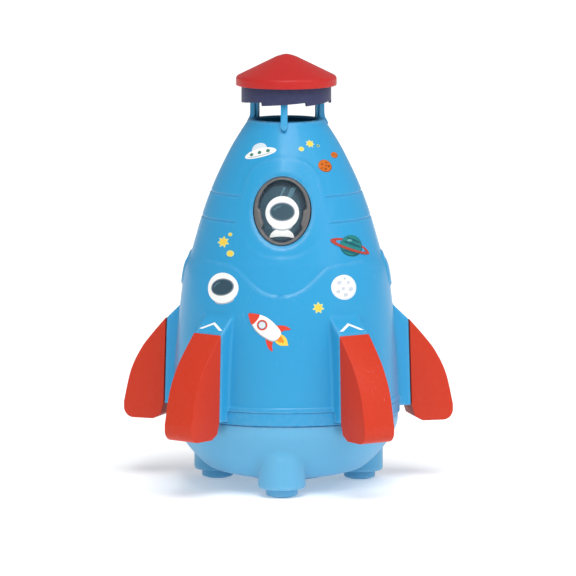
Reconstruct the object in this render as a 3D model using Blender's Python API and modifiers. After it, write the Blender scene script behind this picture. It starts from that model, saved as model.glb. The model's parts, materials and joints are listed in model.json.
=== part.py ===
# Water-jet space rocket toy: a hollow plastic rocket that stands on a three-footed launch base.
# Metres, +Z up, front of the toy towards -Y.
import math

import bmesh
import bpy
from mathutils import Matrix, Vector

MM = 0.001

# Driving dimensions
TOTAL_HEIGHT = 230.0 * MM
RIM_HEIGHT = 195.4 * MM  # top of the open neck
RIM_RADIUS = 19.0 * MM
NECK_RADIUS = 17.3 * MM  # inside of the neck
BODY_BOTTOM = 46.3 * MM
WALL = 2.0 * MM
GAP = 0.3 * MM  # between neighbours that touch on the real toy
SEGMENTS = 48  # facets round a large turned piece
SMALL_SEGMENTS = 24
SCREW_SEGMENTS = 8
TWIST = Matrix.Rotation(math.radians(5), 4, "Z")  # keeps a hole's corners off its neighbours' planes

FIN_ANGLES = {"front_right": 36, "side_right": 108, "rear": 180, "side_left": -108, "front_left": -36}
FIN_THICKNESS = 18.4 * MM
FIN_REACH = 89.8 * MM
FIN_BOTTOM = 32.4 * MM
PYLON_TOP_RADIUS = 65.2 * MM
PYLON_TOP = 86.3 * MM
PYLON_BOTTOM_RADIUS = 66.6 * MM
PYLON_BOTTOM = 40.7 * MM
PYLON_ROOF = 97.5 * MM  # where the slanted top meets the body
PYLON_ROOT = 52.0 * MM

SKIRT_RADIUS = 60.4 * MM
SKIRT_BOTTOM = 39.6 * MM

WINDOW_HEIGHT = 150.9 * MM
BEZEL_HALF = (15.1 * MM, 17.4 * MM)
GLASS_HALF = (12.0 * MM, 15.9 * MM)

POST_ANGLES = (0, 120, -120)
POST_WIDTH = 3.5 * MM
POST_RADII = (17.5 * MM, 21.7 * MM)
POST_TOP = 210.6 * MM
RING_RADIUS = 23.8 * MM
RING_BOTTOM = 203.9 * MM
RING_TOP = 215.0 * MM
TOOTH_COUNT = 6
TOOTH_DEPTH = 1.9 * MM
CAP_RADIUS = 26.7 * MM
CAP_BOTTOM = 213.4 * MM
CAP_SLOPE = 0.50  # rise over run of the cone

BOWL_RADIUS = 59.5 * MM
BOWL_SHOULDER = 39.2 * MM
BOWL_BOTTOM = 7.2 * MM
FOOT_ANGLES = (0, 120, -120)
FOOT_CIRCLE = 44.0 * MM
LUG_RADIUS = 12.5 * MM
LUG_BOTTOM = 4.6 * MM
LUG_TOP = 28.5 * MM
LUG_FLOOR = 5.0 * MM
PAD_RADIUS = 8.4 * MM

COLUMN_RADIUS = 6.0 * MM
COLUMN_BORE = 4.2 * MM
COLUMN_TOP = 112.0 * MM
GUIDE_RADIUS = 8.6 * MM  # inside of the rocket's guide tube
GUIDE_TOP = 118.0 * MM
INLET_HEIGHT = 19.0 * MM
INLET_RADIUS = 7.9 * MM
INLET_REACH = 84.0 * MM
BOSS_RADIUS = 12.2 * MM
BOSS_FACE = 59.2 * MM

# The origin is under the middle of the toy's box, so the axis of the rocket stands a little off it.
FRONT_REACH = FIN_REACH * math.cos(math.radians(36)) + FIN_THICKNESS / 2 * math.sin(math.radians(36))
AXIS_Y = -(FIN_REACH - FRONT_REACH) / 2

for old in list(bpy.data.objects):
    bpy.data.objects.remove(old, do_unlink=True)

parts = bpy.data.collections.new("water_rocket")
cutters = bpy.data.collections.new("cutters")
bpy.context.scene.collection.children.link(parts)
bpy.context.scene.collection.children.link(cutters)


def empty(name, location=(0, 0, 0)):
    axis = bpy.data.objects.new(name, None)
    axis.location = location
    parts.objects.link(axis)
    return axis


base_axis = empty("base_axis", (0, AXIS_Y, 0))
lift_axis = empty("lift_axis", (0, AXIS_Y, 0))
spin_axis = empty("spin_axis", (0, AXIS_Y, 0))
bpy.context.view_layer.update()


def plastic(name, colour, roughness=0.35, metallic=0.0, alpha=1.0):
    material = bpy.data.materials.new(name)
    material.use_nodes = True
    surface = material.node_tree.nodes["Principled BSDF"]
    surface.inputs["Base Color"].default_value = (*colour, 1)
    surface.inputs["Roughness"].default_value = roughness
    surface.inputs["Metallic"].default_value = metallic
    surface.inputs["Alpha"].default_value = alpha
    return material


body_blue = plastic("body_blue", (0.05, 0.37, 0.72))
base_blue = plastic("base_blue", (0.16, 0.50, 0.78))
fin_red = plastic("fin_red", (0.70, 0.07, 0.03))
cap_red = plastic("cap_red", (0.56, 0.03, 0.03))
ring_navy = plastic("ring_navy", (0.05, 0.06, 0.14))
trim_grey = plastic("trim_grey", (0.15, 0.14, 0.14))
clear_plastic = plastic("clear_plastic", (0.8, 0.9, 0.95), 0.05, alpha=0.3)
printed_card = plastic("printed_card", (0.08, 0.16, 0.2), 0.6)
white_plastic = plastic("white_plastic", (0.8, 0.8, 0.78), 0.4)
black_rubber = plastic("black_rubber", (0.02, 0.02, 0.02), 0.7)
brass = plastic("brass", (0.75, 0.52, 0.2), 0.3, 1.0)
steel = plastic("steel", (0.6, 0.6, 0.62), 0.3, 1.0)


def finish_mesh(mesh):
    """Welds the mesh, turns its faces outwards and shades its round sides smooth."""
    work = bmesh.new()
    work.from_mesh(mesh)
    bmesh.ops.remove_doubles(work, verts=work.verts, dist=1e-6)
    bmesh.ops.recalc_face_normals(work, faces=work.faces)
    work.to_mesh(mesh)
    work.free()
    mesh.shade_smooth()
    mesh.set_sharp_from_angle(angle=math.radians(35))
    return mesh


def evaluated_mesh(obj):
    bpy.context.view_layer.update()
    graph = bpy.context.evaluated_depsgraph_get()
    return bpy.data.meshes.new_from_object(obj.evaluated_get(graph))


def solid(name, mesh, matrix=Matrix.Identity(4)):
    """A new object, in the cutters until show() makes it a part."""
    mesh.transform(matrix)
    mesh.name = name
    obj = bpy.data.objects.new(name, finish_mesh(mesh))
    obj.hide_render = True
    obj.display_type = "WIRE"
    obj.parent = base_axis
    cutters.objects.link(obj)
    return obj


def show(obj, material, axis):
    cutters.objects.unlink(obj)
    parts.objects.link(obj)
    obj.hide_render = False
    obj.display_type = "TEXTURED"
    obj.parent = axis
    obj.data.materials.append(material)
    return obj


def turned(name, profile, steps=SEGMENTS, matrix=Matrix.Identity(4)):
    """Profile points are (radius, height), outer side first. Off the axis, the profile is a closed loop."""
    mesh = bpy.data.meshes.new(name)
    edges = [(i, i + 1) for i in range(len(profile) - 1)]
    if profile[0][0] > 0:
        edges.append((len(profile) - 1, 0))
    mesh.from_pydata([(radius, 0, height) for radius, height in profile], edges, [])
    draft = bpy.data.objects.new(name + "_draft", mesh)
    cutters.objects.link(draft)
    screw = draft.modifiers.new("Turn", "SCREW")
    screw.steps = screw.render_steps = steps
    screw.use_merge_vertices = True
    screw.merge_threshold = 1e-6
    made = evaluated_mesh(draft)
    bpy.data.objects.remove(draft)
    return solid(name, made, matrix)


def plate(name, outline, thickness):
    """An upright plate facing -Y, outlined by (radius, height) points."""
    curve = bpy.data.curves.new(name, "CURVE")
    curve.dimensions = "2D"
    curve.fill_mode = "BOTH"
    curve.extrude = thickness / 2
    spline = curve.splines.new("POLY")
    spline.points.add(len(outline) - 1)
    for point, (radius, height) in zip(spline.points, outline):
        point.co = (radius, height, 0, 1)
    spline.use_cyclic_u = True
    draft = bpy.data.objects.new(name + "_draft", curve)
    cutters.objects.link(draft)
    made = evaluated_mesh(draft)
    bpy.data.objects.remove(draft)
    upright = Matrix(((0, 0, 1, 0), (-1, 0, 0, 0), (0, 1, 0, 0), (0, 0, 0, 1)))
    return solid(name, made, upright)


def box(name, low, high, turn=0):
    """A box between two corners, then turned about the toy's axis by degrees."""
    mesh = bpy.data.meshes.new(name)
    work = bmesh.new()
    bmesh.ops.create_cube(work, size=1)
    work.to_mesh(mesh)
    work.free()
    low, high = Vector(low), Vector(high)
    place = Matrix.Translation((low + high) / 2) @ Matrix.Diagonal((*(high - low), 1))
    return solid(name, mesh, Matrix.Rotation(math.radians(turn), 4, "Z") @ place)


def rod(name, radius, low, high, centre=(0, 0), steps=SMALL_SEGMENTS, matrix=Matrix.Identity(4)):
    """An upright cylinder between two heights."""
    place = matrix @ Matrix.Translation((*centre, 0)) @ TWIST
    return turned(name, [(0, high), (radius, high), (radius, low), (0, low)], steps, place)


def ring(name, inner, outer, low, high, steps=SEGMENTS, matrix=Matrix.Identity(4)):
    return turned(name, [(outer, high), (outer, low), (inner, low), (inner, high)], steps, matrix)


def torus(name, radius, thickness, matrix, steps=20, sides=6):
    turns = [-math.tau * side / sides for side in range(sides)]
    profile = [(radius + thickness * math.cos(t), thickness * math.sin(t)) for t in turns]
    return turned(name, profile, steps, matrix)


def oval(name, half, front=-70 * MM, back=-25 * MM, steps=48):
    """An oval prism through the front wall, centred on the window."""
    turns = [math.tau * step / steps for step in range(steps)]
    outline = [(half[0] * math.cos(t), WINDOW_HEIGHT + half[1] * math.sin(t)) for t in turns]
    prism = plate(name, outline, back - front)
    turn = Matrix(((0, -1, 0, 0), (1, 0, 0, (front + back) / 2), (0, 0, 1, 0), (0, 0, 0, 1)))
    prism.data.transform(turn)
    return prism


def combine(target, other, operation):
    """A Boolean that stays off until every piece is made."""
    modifier = target.modifiers.new(other.name, "BOOLEAN")
    modifier.operation = operation
    modifier.object = other
    modifier.show_viewport = modifier.show_render = False
    return target


def cut(target, *others):
    for other in others:
        combine(target, other, "DIFFERENCE")
    return target


def join(target, *others):
    for other in others:
        combine(target, other, "UNION")
    return target


def soften(obj, width, segments=1):
    bevel = obj.modifiers.new("Edges", "BEVEL")
    bevel.width = width
    bevel.segments = segments
    bevel.limit_method = "ANGLE"
    bevel.angle_limit = math.radians(40)
    return obj


def turned_to(obj, angle):
    """Turns the object about the toy's axis. Angle 0 is the front, and positive goes to the right."""
    obj.rotation_euler.z = math.radians(angle)
    return obj


def place_at(radius, angle):
    """The point (x, y) at this radius and angle from the front."""
    return radius * math.sin(math.radians(angle)), -radius * math.cos(math.radians(angle))


def smooth_through(points, steps):
    """A Catmull-Rom curve through the points, with this many steps between neighbours."""
    ends = [Vector(point) for point in (points[0], *points, points[-1])]
    curve = []
    for a, b, c, d in zip(ends, ends[1:], ends[2:], ends[3:]):
        for step in range(steps):
            t = step / steps
            bend = (2 * a - 5 * b + 4 * c - d) * t**2 + (3 * b - a - 3 * c + d) * t**3
            curve.append(tuple((2 * b + (c - a) * t + bend) / 2))
    return [*curve, points[-1]]


def inset(profile, depth):
    """The profile moved inwards, at right angles to itself."""
    moved = []
    for index, (radius, height) in enumerate(profile):
        before = Vector(profile[max(index - 1, 0)])
        after = Vector(profile[min(index + 1, len(profile) - 1)])
        along = (after - before).normalized()
        moved.append((radius + along.y * depth, height - along.x * depth))
    return moved


def arc(centre, radius, start, end, steps):
    """Points on an arc between two angles, in degrees."""
    turns = [math.radians(start + (end - start) * step / steps) for step in range(steps + 1)]
    return [(centre[0] + radius * math.cos(t), centre[1] + radius * math.sin(t)) for t in turns]


def screw(name, radius, length, head_radius, head_height, matrix, material, axis):
    """A pan-head screw. Its head's underside is at the matrix's origin and its shank points down."""
    point = radius * 0.4
    profile = [
        (0, head_height),
        (head_radius * 0.75, head_height),
        (head_radius, head_height * 0.55),
        (head_radius, 0),
        (radius, 0),
        (radius, -length + radius),
        (point, -length),
        (0, -length),
    ]
    fastener = turned(name, profile, SCREW_SEGMENTS, matrix)
    reach, half = head_radius * 0.55, head_radius * 0.13
    slot = box(name + "_slot", (-reach, -half, head_height * 0.5), (reach, half, head_height * 1.5))
    slot.data.transform(matrix)
    return show(cut(fastener, slot), material, axis)


# The body's outer side, from the neck down to the skirt, with the raised belt round its lower part
UPPER_SIDE = [
    (20.6 * MM, 194.2 * MM),
    (24.5 * MM, 188.3 * MM),
    (30.1 * MM, 178.8 * MM),
    (37.8 * MM, 162.8 * MM),
    (43.9 * MM, 146.8 * MM),
    (49.9 * MM, 126.4 * MM),
]
BELT_SIDE = [
    (53.3 * MM, 118.0 * MM),
    (55.0 * MM, 108.5 * MM),
    (57.6 * MM, 90.0 * MM),
    (60.1 * MM, BODY_BOTTOM),
]
UNDER_BELT = [
    (49.2 * MM, 131.0 * MM),
    (51.0 * MM, 122.5 * MM),
    (53.0 * MM, 113.0 * MM),
    (55.4 * MM, 99.0 * MM),
]
BELT_DIP = (32.0 * MM, 124.0 * MM, 107.8 * MM)  # half width, height at its ends, height in the middle


def body_side(steps=2):
    return smooth_through(UPPER_SIDE + BELT_SIDE, steps)


def radius_at(side, height):
    for (upper_radius, upper), (lower_radius, lower) in zip(side, side[1:]):
        if lower <= height <= upper:
            return lower_radius + (upper_radius - lower_radius) * (height - lower) / (upper - lower)
    return side[-1][0]


def make_pylon_outline(inner_by):
    """The pylon's upright section, or the section of the hollow inside it."""
    slope = (PYLON_BOTTOM_RADIUS - PYLON_TOP_RADIUS) / (PYLON_TOP - PYLON_BOTTOM)
    top, bottom = PYLON_TOP - inner_by * 0.6, PYLON_BOTTOM - inner_by * 2
    roof_radius = radius_at(body_side(), PYLON_ROOF)
    rise = (PYLON_ROOF - PYLON_TOP) / (PYLON_TOP_RADIUS - roof_radius)
    outer_top = PYLON_TOP_RADIUS - inner_by
    return [
        (PYLON_ROOT, top + (outer_top - PYLON_ROOT) * rise - inner_by),
        (outer_top - 4 * MM, top + 4 * MM * rise + 0.5 * MM - inner_by),
        (outer_top, top - inner_by),
        (outer_top + slope * (top - inner_by - bottom), bottom),
        (PYLON_ROOT, bottom),
    ]


def make_body_shell():
    side = body_side()
    rim = [(0, RIM_HEIGHT), (RIM_RADIUS, RIM_HEIGHT), (RIM_RADIUS + 1.0 * MM, RIM_HEIGHT - 0.4 * MM)]
    body = turned("body_shell", [*rim, *side, (0, BODY_BOTTOM)])
    for name, angle in FIN_ANGLES.items():
        pylon = plate(f"pylon_{name}", make_pylon_outline(0), FIN_THICKNESS)
        join(body, turned_to(soften(pylon, 0.9 * MM, 2), angle))
    for number, angle in enumerate(POST_ANGLES, 1):
        bar_from = POST_RADII[1] - 2.2 * MM
        post_low = RIM_HEIGHT - 6 * MM
        half = POST_WIDTH / 2
        bar = box(f"post_bar_{number}", (-half, -POST_RADII[1], post_low), (half, -bar_from, POST_TOP))
        half, web_low = 0.9 * MM, RIM_HEIGHT - 2.5 * MM
        web_from = -bar_from - 0.5 * MM
        web = box(f"post_web_{number}", (-half, web_from, web_low), (half, -POST_RADII[0], POST_TOP))
        join(body, turned_to(soften(bar, 0.6 * MM), angle), turned_to(web, angle))

    inner = [point for point in inset(body_side(1), WALL) if point[0] > NECK_RADIUS + 1 * MM][:-1]
    skirt_room = SKIRT_RADIUS + GAP
    hollow = turned(
        "body_hollow",
        [
            (0, RIM_HEIGHT + 2 * MM),
            (NECK_RADIUS, RIM_HEIGHT + 2 * MM),
            (NECK_RADIUS, inner[0][1]),
            *inner,
            (side[-1][0] - WALL, BODY_BOTTOM),
            (skirt_room, BODY_BOTTOM),
            (skirt_room, PYLON_BOTTOM - 3 * MM),
            (0, PYLON_BOTTOM - 3 * MM),
        ],
    )
    cut(body, hollow)
    for name, angle in FIN_ANGLES.items():
        room = plate(f"pylon_room_{name}", make_pylon_outline(WALL), FIN_THICKNESS - 2 * WALL)
        hole = fin_rod(f"pylon_hole_{name}", 1.7 * MM, 55 * MM, 72 * MM)
        cut(body, turned_to(room, angle), turned_to(hole, angle))
    cut(body, oval("window_hole", (BEZEL_HALF[0] + GAP, BEZEL_HALF[1] + GAP)))

    # The dip of the belt under the window
    half, high, low = BELT_DIP
    waves = [step / 8 - 1 for step in range(17)]
    outline = [(half * wave, low + (high - low) * (1 - math.cos(math.pi * wave)) / 2) for wave in waves]
    outline = [(-half, 130 * MM), *outline, (half, 130 * MM)]
    dip = plate("belt_dip", outline, 40 * MM)
    dip.data.transform(Matrix(((0, -1, 0, 0), (1, 0, 0, -52 * MM), (0, 0, 1, 0), (0, 0, 0, 1))))
    kept = smooth_through(UNDER_BELT, 3)
    core = turned("belt_core", [(0, kept[0][1]), *kept, (0, kept[-1][1])])
    cut(body, cut(dip, core))

    # Two panel lines that run round the back and stop short of the window
    for number, height in enumerate((157.4 * MM, 144.1 * MM), 1):
        radius = radius_at(side, height)
        depth, half_width = 0.6 * MM, 0.45 * MM
        ends = height - half_width, height + half_width
        line = ring(f"panel_line_{number}", radius - depth, radius + 3 * MM, *ends)
        front = box(f"panel_line_front_{number}", (-24 * MM, -80 * MM, 130 * MM), (24 * MM, 0, 170 * MM))
        cut(body, cut(line, front))
    for number, angle in enumerate(POST_ANGLES, 1):
        centre = place_at(CROWN_SCREW_CIRCLE, angle)
        pilot = rod(f"post_pilot_{number}", 1.1 * MM, 201 * MM, 214 * MM, centre, SCREW_SEGMENTS)
        cut(body, pilot)
    return show(body, body_blue, spin_axis)


def make_skirt_ring():
    """The band at the rocket's foot. Its upstand is pressed into the body."""
    shoulder = BODY_BOTTOM - GAP
    profile = [
        (SKIRT_RADIUS - 0.5 * MM, shoulder),
        (SKIRT_RADIUS, shoulder - 0.5 * MM),
        (SKIRT_RADIUS, SKIRT_BOTTOM + 0.4 * MM),
        (SKIRT_RADIUS - 0.4 * MM, SKIRT_BOTTOM),
        (57.0 * MM, SKIRT_BOTTOM),
        (57.0 * MM, 44.0 * MM),
        (56.0 * MM, 44.0 * MM),
        (56.0 * MM, 51.5 * MM),
        (57.2 * MM, 51.5 * MM),
        (57.2 * MM, shoulder),
    ]
    return show(turned("skirt_ring", profile, 40), body_blue, spin_axis)


def make_guide_spider():
    """The tube that slides over the launch column, held by three spokes inside the skirt ring."""
    low = 46.8 * MM
    outer = GUIDE_RADIUS + 1.8 * MM
    spider = ring("guide_spider", GUIDE_RADIUS, outer, low, GUIDE_TOP, SMALL_SEGMENTS)
    join(spider, ring("spider_rim", 53.6 * MM, 55.6 * MM, low, low + 4 * MM, 48))
    for angle in (60, 180, 300):
        reach = (-1.2 * MM, -54.2 * MM, low), (1.2 * MM, -outer + 0.8 * MM, low + 6 * MM)
        join(spider, box(f"spoke_{angle}", *reach, turn=angle))
    return show(spider, white_plastic, spin_axis)


def make_window():
    side = body_side()
    heights = [WINDOW_HEIGHT + (21 - 6 * step) * MM for step in range(8)]
    stretch = [(radius_at(side, height), height) for height in heights]

    def layer(name, outer, inner):
        outside = [(radius + outer, height) for radius, height in stretch]
        inside = [(radius + inner, height) for radius, height in reversed(stretch)]
        return turned(name, outside + inside, SEGMENTS)

    bezel = layer("window_bezel", 0.7 * MM, -2.0 * MM)
    combine(bezel, oval("bezel_outline", BEZEL_HALF), "INTERSECT")
    cut(bezel, oval("bezel_opening", GLASS_HALF, -80 * MM, -20 * MM))
    show(bezel, trim_grey, spin_axis)
    glass = layer("window_glass", -0.2 * MM, -1.4 * MM)
    combine(glass, oval("glass_outline", (GLASS_HALF[0] - GAP, GLASS_HALF[1] - GAP)), "INTERSECT")
    show(glass, clear_plastic, spin_axis)
    card = layer("window_card", -3.0 * MM, -3.8 * MM)
    combine(card, oval("card_outline", (BEZEL_HALF[0] - 0.6 * MM, BEZEL_HALF[1] - 0.9 * MM)), "INTERSECT")
    show(card, printed_card, spin_axis)


FIN_SCREW_HEIGHT = 62.0 * MM
# Turns an upright piece to lie along -Y, at the height of the fin screws
FIN_SCREW_TURN = Matrix.Translation((0, 0, FIN_SCREW_HEIGHT)) @ Matrix.Rotation(math.radians(90), 4, "X")
CROWN_SCREW_CIRCLE = 20.2 * MM


def fin_rod(name, radius, low, high, steps=SCREW_SEGMENTS):
    """A cylinder along the fin screw, between two distances from the toy's axis."""
    return rod(name, radius, low, high, steps=steps, matrix=FIN_SCREW_TURN)


def fin_outline(by):
    """The fin's side view, made smaller all round by this much."""
    inner_top = (PYLON_TOP_RADIUS + GAP, PYLON_TOP - by * 2.2)
    slope = (PYLON_BOTTOM_RADIUS - PYLON_TOP_RADIUS) / (PYLON_TOP - PYLON_BOTTOM)
    inner_low = PYLON_BOTTOM + by * 0.4
    inner = (PYLON_BOTTOM_RADIUS + GAP + slope * (PYLON_BOTTOM - inner_low), inner_low)
    reach, bottom = FIN_REACH - by, FIN_BOTTOM + by
    edge = smooth_through(
        [
            inner_top,
            (73.8 * MM - by * 0.7, 77.8 * MM - by * 0.7),
            (80.0 * MM - by * 0.8, 69.6 * MM - by * 0.6),
            (85.8 * MM - by, 57.7 * MM),
            (reach, 40.9 * MM),
        ],
        3,
    )
    corner = 5.5 * MM - by
    toe = arc((reach - corner, bottom + corner), corner, 0, -90, 4)
    heel = [(73.0 * MM, bottom), (68.6 * MM + by * 0.3, bottom + 2.6 * MM)]
    return [*edge, *toe, *heel, inner]


def make_fins():
    skin = 1.8 * MM
    for name, angle in FIN_ANGLES.items():
        fin = soften(plate(f"fin_{name}", fin_outline(0), FIN_THICKNESS), 0.8 * MM)
        hollow = fin_outline(skin)
        mouth = [(PYLON_TOP_RADIUS - 3 * MM, hollow[-1][1]), (PYLON_TOP_RADIUS - 3 * MM, hollow[0][1])]
        cut(fin, plate(f"fin_room_{name}", hollow + mouth, FIN_THICKNESS - 2 * skin))
        inner_face = 66.6 * MM
        join(fin, fin_rod(f"fin_post_{name}", 3.2 * MM, inner_face, 81.8 * MM, 12))
        cut(fin, fin_rod(f"fin_pilot_{name}", 1.3 * MM, 60 * MM, 78 * MM))
        turned_to(show(fin, fin_red, spin_axis), angle)
        head_seat = PYLON_TOP_RADIUS + 0.5 * MM - WALL - GAP
        outwards = FIN_SCREW_TURN @ Matrix.Translation((0, 0, head_seat)) @ Matrix.Rotation(math.pi, 4, "X")
        sizes = 1.0 * MM, 13 * MM, 2.6 * MM, 1.6 * MM
        fastener = screw(f"fin_screw_{name}", *sizes, outwards, steel, spin_axis)
        turned_to(fastener, angle)
        for modifier in fastener.modifiers:
            turned_to(modifier.object, angle)
        for modifier in fin.modifiers:
            if modifier.type == "BOOLEAN":
                turned_to(modifier.object, angle)


def make_deflector_ring():
    """The toothed ring over the neck. Its cone and vanes throw the water sideways and turn the rocket."""
    wall, plate_low, plate_high = 1.5 * MM, 211.0 * MM, 213.0 * MM
    cone_tip = 204.5 * MM
    profile = [
        (0, plate_high),
        (RING_RADIUS - wall, plate_high),
        (RING_RADIUS - wall, RING_TOP),
        (RING_RADIUS, RING_TOP),
        (RING_RADIUS, RING_BOTTOM),
        (RING_RADIUS - wall, RING_BOTTOM),
        (RING_RADIUS - wall, plate_low),
        (6.5 * MM, plate_low),
        (3.0 * MM, plate_low - 2.5 * MM),
        (0, cone_tip),
    ]
    deflector = turned("deflector_ring", profile)
    pitch = 360 / TOOTH_COUNT
    for tooth in range(TOOTH_COUNT):
        vane_from, vane_to = (-0.8 * MM, -22.9 * MM, 206.2 * MM), (0.8 * MM, -9 * MM, plate_low + 0.6 * MM)
        join(deflector, box(f"vane_{tooth}", vane_from, vane_to, 30 + pitch * tooth))
        # Each tooth falls steeply and rises over the rest of its sixth of the ring.
        length = 2 * RING_RADIUS * math.sin(math.radians(pitch / 2)) * 1.02
        rise = math.atan2(TOOTH_DEPTH, length)
        mesh = box(f"tooth_gap_{tooth}", (0, -30 * MM, -6 * MM), (length, -15 * MM, 0))
        tip = Matrix.Translation((-length / 2, 0, RING_BOTTOM + 0.05 * MM))
        lean = Matrix.Rotation(-rise, 4, "Y")
        turn = Matrix.Rotation(math.radians(pitch * tooth), 4, "Z")
        mesh.data.transform(turn @ tip @ lean)
        cut(deflector, mesh)
    for number, angle in enumerate(POST_ANGLES, 1):
        centre = place_at(CROWN_SCREW_CIRCLE, angle)
        cut(deflector, rod(f"crown_hole_{number}", 1.5 * MM, 209 * MM, 216 * MM, centre, SCREW_SEGMENTS))
        place = Matrix.Translation((*centre, plate_high + GAP))
        screw(f"crown_screw_{number}", 0.8 * MM, 9 * MM, 1.9 * MM, 1.2 * MM, place, steel, spin_axis)
    return show(deflector, ring_navy, spin_axis)


def make_nose_cap():
    """A hollow cone that covers the deflector ring and its screws."""
    shoulder = TOTAL_HEIGHT + 1.5 * MM - CAP_RADIUS * CAP_SLOPE
    outer = smooth_through(
        [
            (0, TOTAL_HEIGHT),
            (2.4 * MM, TOTAL_HEIGHT - 0.45 * MM),
            (5.5 * MM, TOTAL_HEIGHT + 1.3 * MM - 5.5 * MM * CAP_SLOPE),
        ],
        2,
    )
    shoulder_curve = arc((CAP_RADIUS - 2.2 * MM, shoulder - 1.6 * MM), 2.2 * MM, 63, 0, 3)
    rim = [
        (CAP_RADIUS, CAP_BOTTOM + 0.8 * MM),
        (CAP_RADIUS - 0.4 * MM, CAP_BOTTOM),
        (RING_RADIUS + 0.5 * MM, CAP_BOTTOM),
        (RING_RADIUS + 0.5 * MM, shoulder - 1.6 * MM),
        (4.0 * MM, TOTAL_HEIGHT - 4.2 * MM),
        (0, TOTAL_HEIGHT - 4.2 * MM),
    ]
    return show(turned("nose_cap", [*outer, *shoulder_curve, *rim], 36), cap_red, spin_axis)


def make_glide_bush():
    """The slippery ring between the launch column and the guide tube."""
    profile = [
        (8.3 * MM, 114.0 * MM),
        (8.3 * MM, 100.0 * MM),
        (6.35 * MM, 100.0 * MM),
        (6.35 * MM, 114.0 * MM),
    ]
    return show(turned("glide_bush", profile, SMALL_SEGMENTS), white_plastic, lift_axis)


# The bowl's outer side, from under the skirt down to its flat bottom
BOWL_SIDE = [
    (BOWL_RADIUS, BOWL_SHOULDER - 0.6 * MM),
    (58.6 * MM, 32.0 * MM),
    (52.4 * MM, 21.4 * MM),
    (42.9 * MM, 11.6 * MM),
    (36.0 * MM, 8.6 * MM),
    (29.0 * MM, BOWL_BOTTOM),
]


def lying(height, flip=False):
    """Turns an upright piece to lie along +Y, or -Y where flipped, at this height."""
    quarter = Matrix.Rotation(math.radians(90 if flip else -90), 4, "X")
    return Matrix.Translation((0, 0, height)) @ quarter


def lug(name, radius, low, top):
    """A foot's upright post with a rounded head."""
    head = 6.0 * MM
    shoulder = [(0, top), (radius * 0.55, top - head * 0.18), (radius * 0.9, top - head * 0.62)]
    crown = smooth_through(shoulder, 2)
    foot = [(radius, top - head * 1.3), (radius, low + 1.2 * MM), (radius - 1.2 * MM, low), (0, low)]
    return turned(name, [*crown, *foot], 20, TWIST)


def make_base_bowl():
    collar_out, collar_in, collar_top = 55.2 * MM, 53.2 * MM, 45.0 * MM
    side = smooth_through(BOWL_SIDE, 2)
    shoulder = [(collar_out, BOWL_SHOULDER), (BOWL_RADIUS - 0.4 * MM, BOWL_SHOULDER)]
    top = [(0, collar_top), (collar_out, collar_top), *shoulder]
    bowl = turned("base_bowl", [*top, *side, (0, BOWL_BOTTOM)])
    for number, angle in enumerate(FOOT_ANGLES, 1):
        foot = lug(f"lug_{number}", LUG_RADIUS, LUG_BOTTOM, LUG_TOP)
        foot.location = (*place_at(FOOT_CIRCLE, angle), 0)
        join(bowl, foot)
    join(bowl, rod("inlet_boss", BOSS_RADIUS, 36 * MM, BOSS_FACE, matrix=lying(INLET_HEIGHT)))

    inner = inset(side, WALL)
    below_collar = BOWL_SHOULDER - WALL
    room = turned(
        "bowl_room",
        [
            (0, collar_top + 1 * MM),
            (collar_in, collar_top + 1 * MM),
            (collar_in, below_collar + 1 * MM),
            *inner[1:],
            (0, BOWL_BOTTOM + WALL),
        ],
    )
    cut(bowl, room)
    for number, angle in enumerate(FOOT_ANGLES, 1):
        spot = place_at(FOOT_CIRCLE, angle)
        hollow = lug(f"lug_room_{number}", LUG_RADIUS - WALL, LUG_BOTTOM + LUG_FLOOR, LUG_TOP - WALL)
        hollow.location = (*spot, 0)
        recess = rod(f"lug_recess_{number}", 3.7 * MM, 0, LUG_BOTTOM + 2.8 * MM, spot)
        hole = rod(f"lug_hole_{number}", 1.5 * MM, 0, 12 * MM, spot, SCREW_SEGMENTS)
        cut(bowl, hollow, recess, hole)
    boss_room = rod("boss_room", BOSS_RADIUS - WALL, 30 * MM, BOSS_FACE - WALL, matrix=lying(INLET_HEIGHT))
    boss_hole = rod("boss_hole", INLET_RADIUS + 0.4 * MM, 45 * MM, 60 * MM, matrix=lying(INLET_HEIGHT))
    cut(bowl, boss_room, boss_hole)
    cut(bowl, rod("bottom_hole", COVER_HOLE, 0, 12 * MM, steps=32))
    for number, angle in enumerate(FOOT_ANGLES, 1):
        spot = place_at(COVER_SCREW_CIRCLE, angle)
        join(bowl, rod(f"cover_post_{number}", 2.8 * MM, BOWL_BOTTOM + 0.5 * MM, 11 * MM, spot, 16))
        cut(bowl, rod(f"cover_pilot_{number}", 1.1 * MM, 0, 10 * MM, spot, SCREW_SEGMENTS))
    return show(bowl, base_blue, base_axis)


COVER_HOLE = 13.5 * MM
COVER_SCREW_CIRCLE = 17.8 * MM


def make_bottom_cover():
    low, high = 5.2 * MM, BOWL_BOTTOM - GAP
    profile = [
        (0, high + 2 * MM),
        (COVER_HOLE - 0.5 * MM, high + 2 * MM),
        (COVER_HOLE - 0.5 * MM, high),
        (21.8 * MM, high),
        (21.8 * MM, low + 0.4 * MM),
        (21.4 * MM, low),
        (0, low),
    ]
    cover = turned("bottom_cover", profile, 36)
    for number, angle in enumerate(FOOT_ANGLES, 1):
        spot = place_at(COVER_SCREW_CIRCLE, angle)
        cut(cover, rod(f"cover_hole_{number}", 1.4 * MM, 0, 10 * MM, spot, SCREW_SEGMENTS))
        drain = place_at(7.5 * MM, angle + 60)
        cut(cover, rod(f"cover_drain_{number}", 2.2 * MM, 0, 12 * MM, drain, 12))
        upwards = Matrix.Translation((*spot, low - GAP)) @ Matrix.Rotation(math.pi, 4, "X")
        screw(f"cover_screw_{number}", 0.8 * MM, 4.6 * MM, 2.2 * MM, 1.2 * MM, upwards, steel, base_axis)
    return show(cover, base_blue, base_axis)


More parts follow.
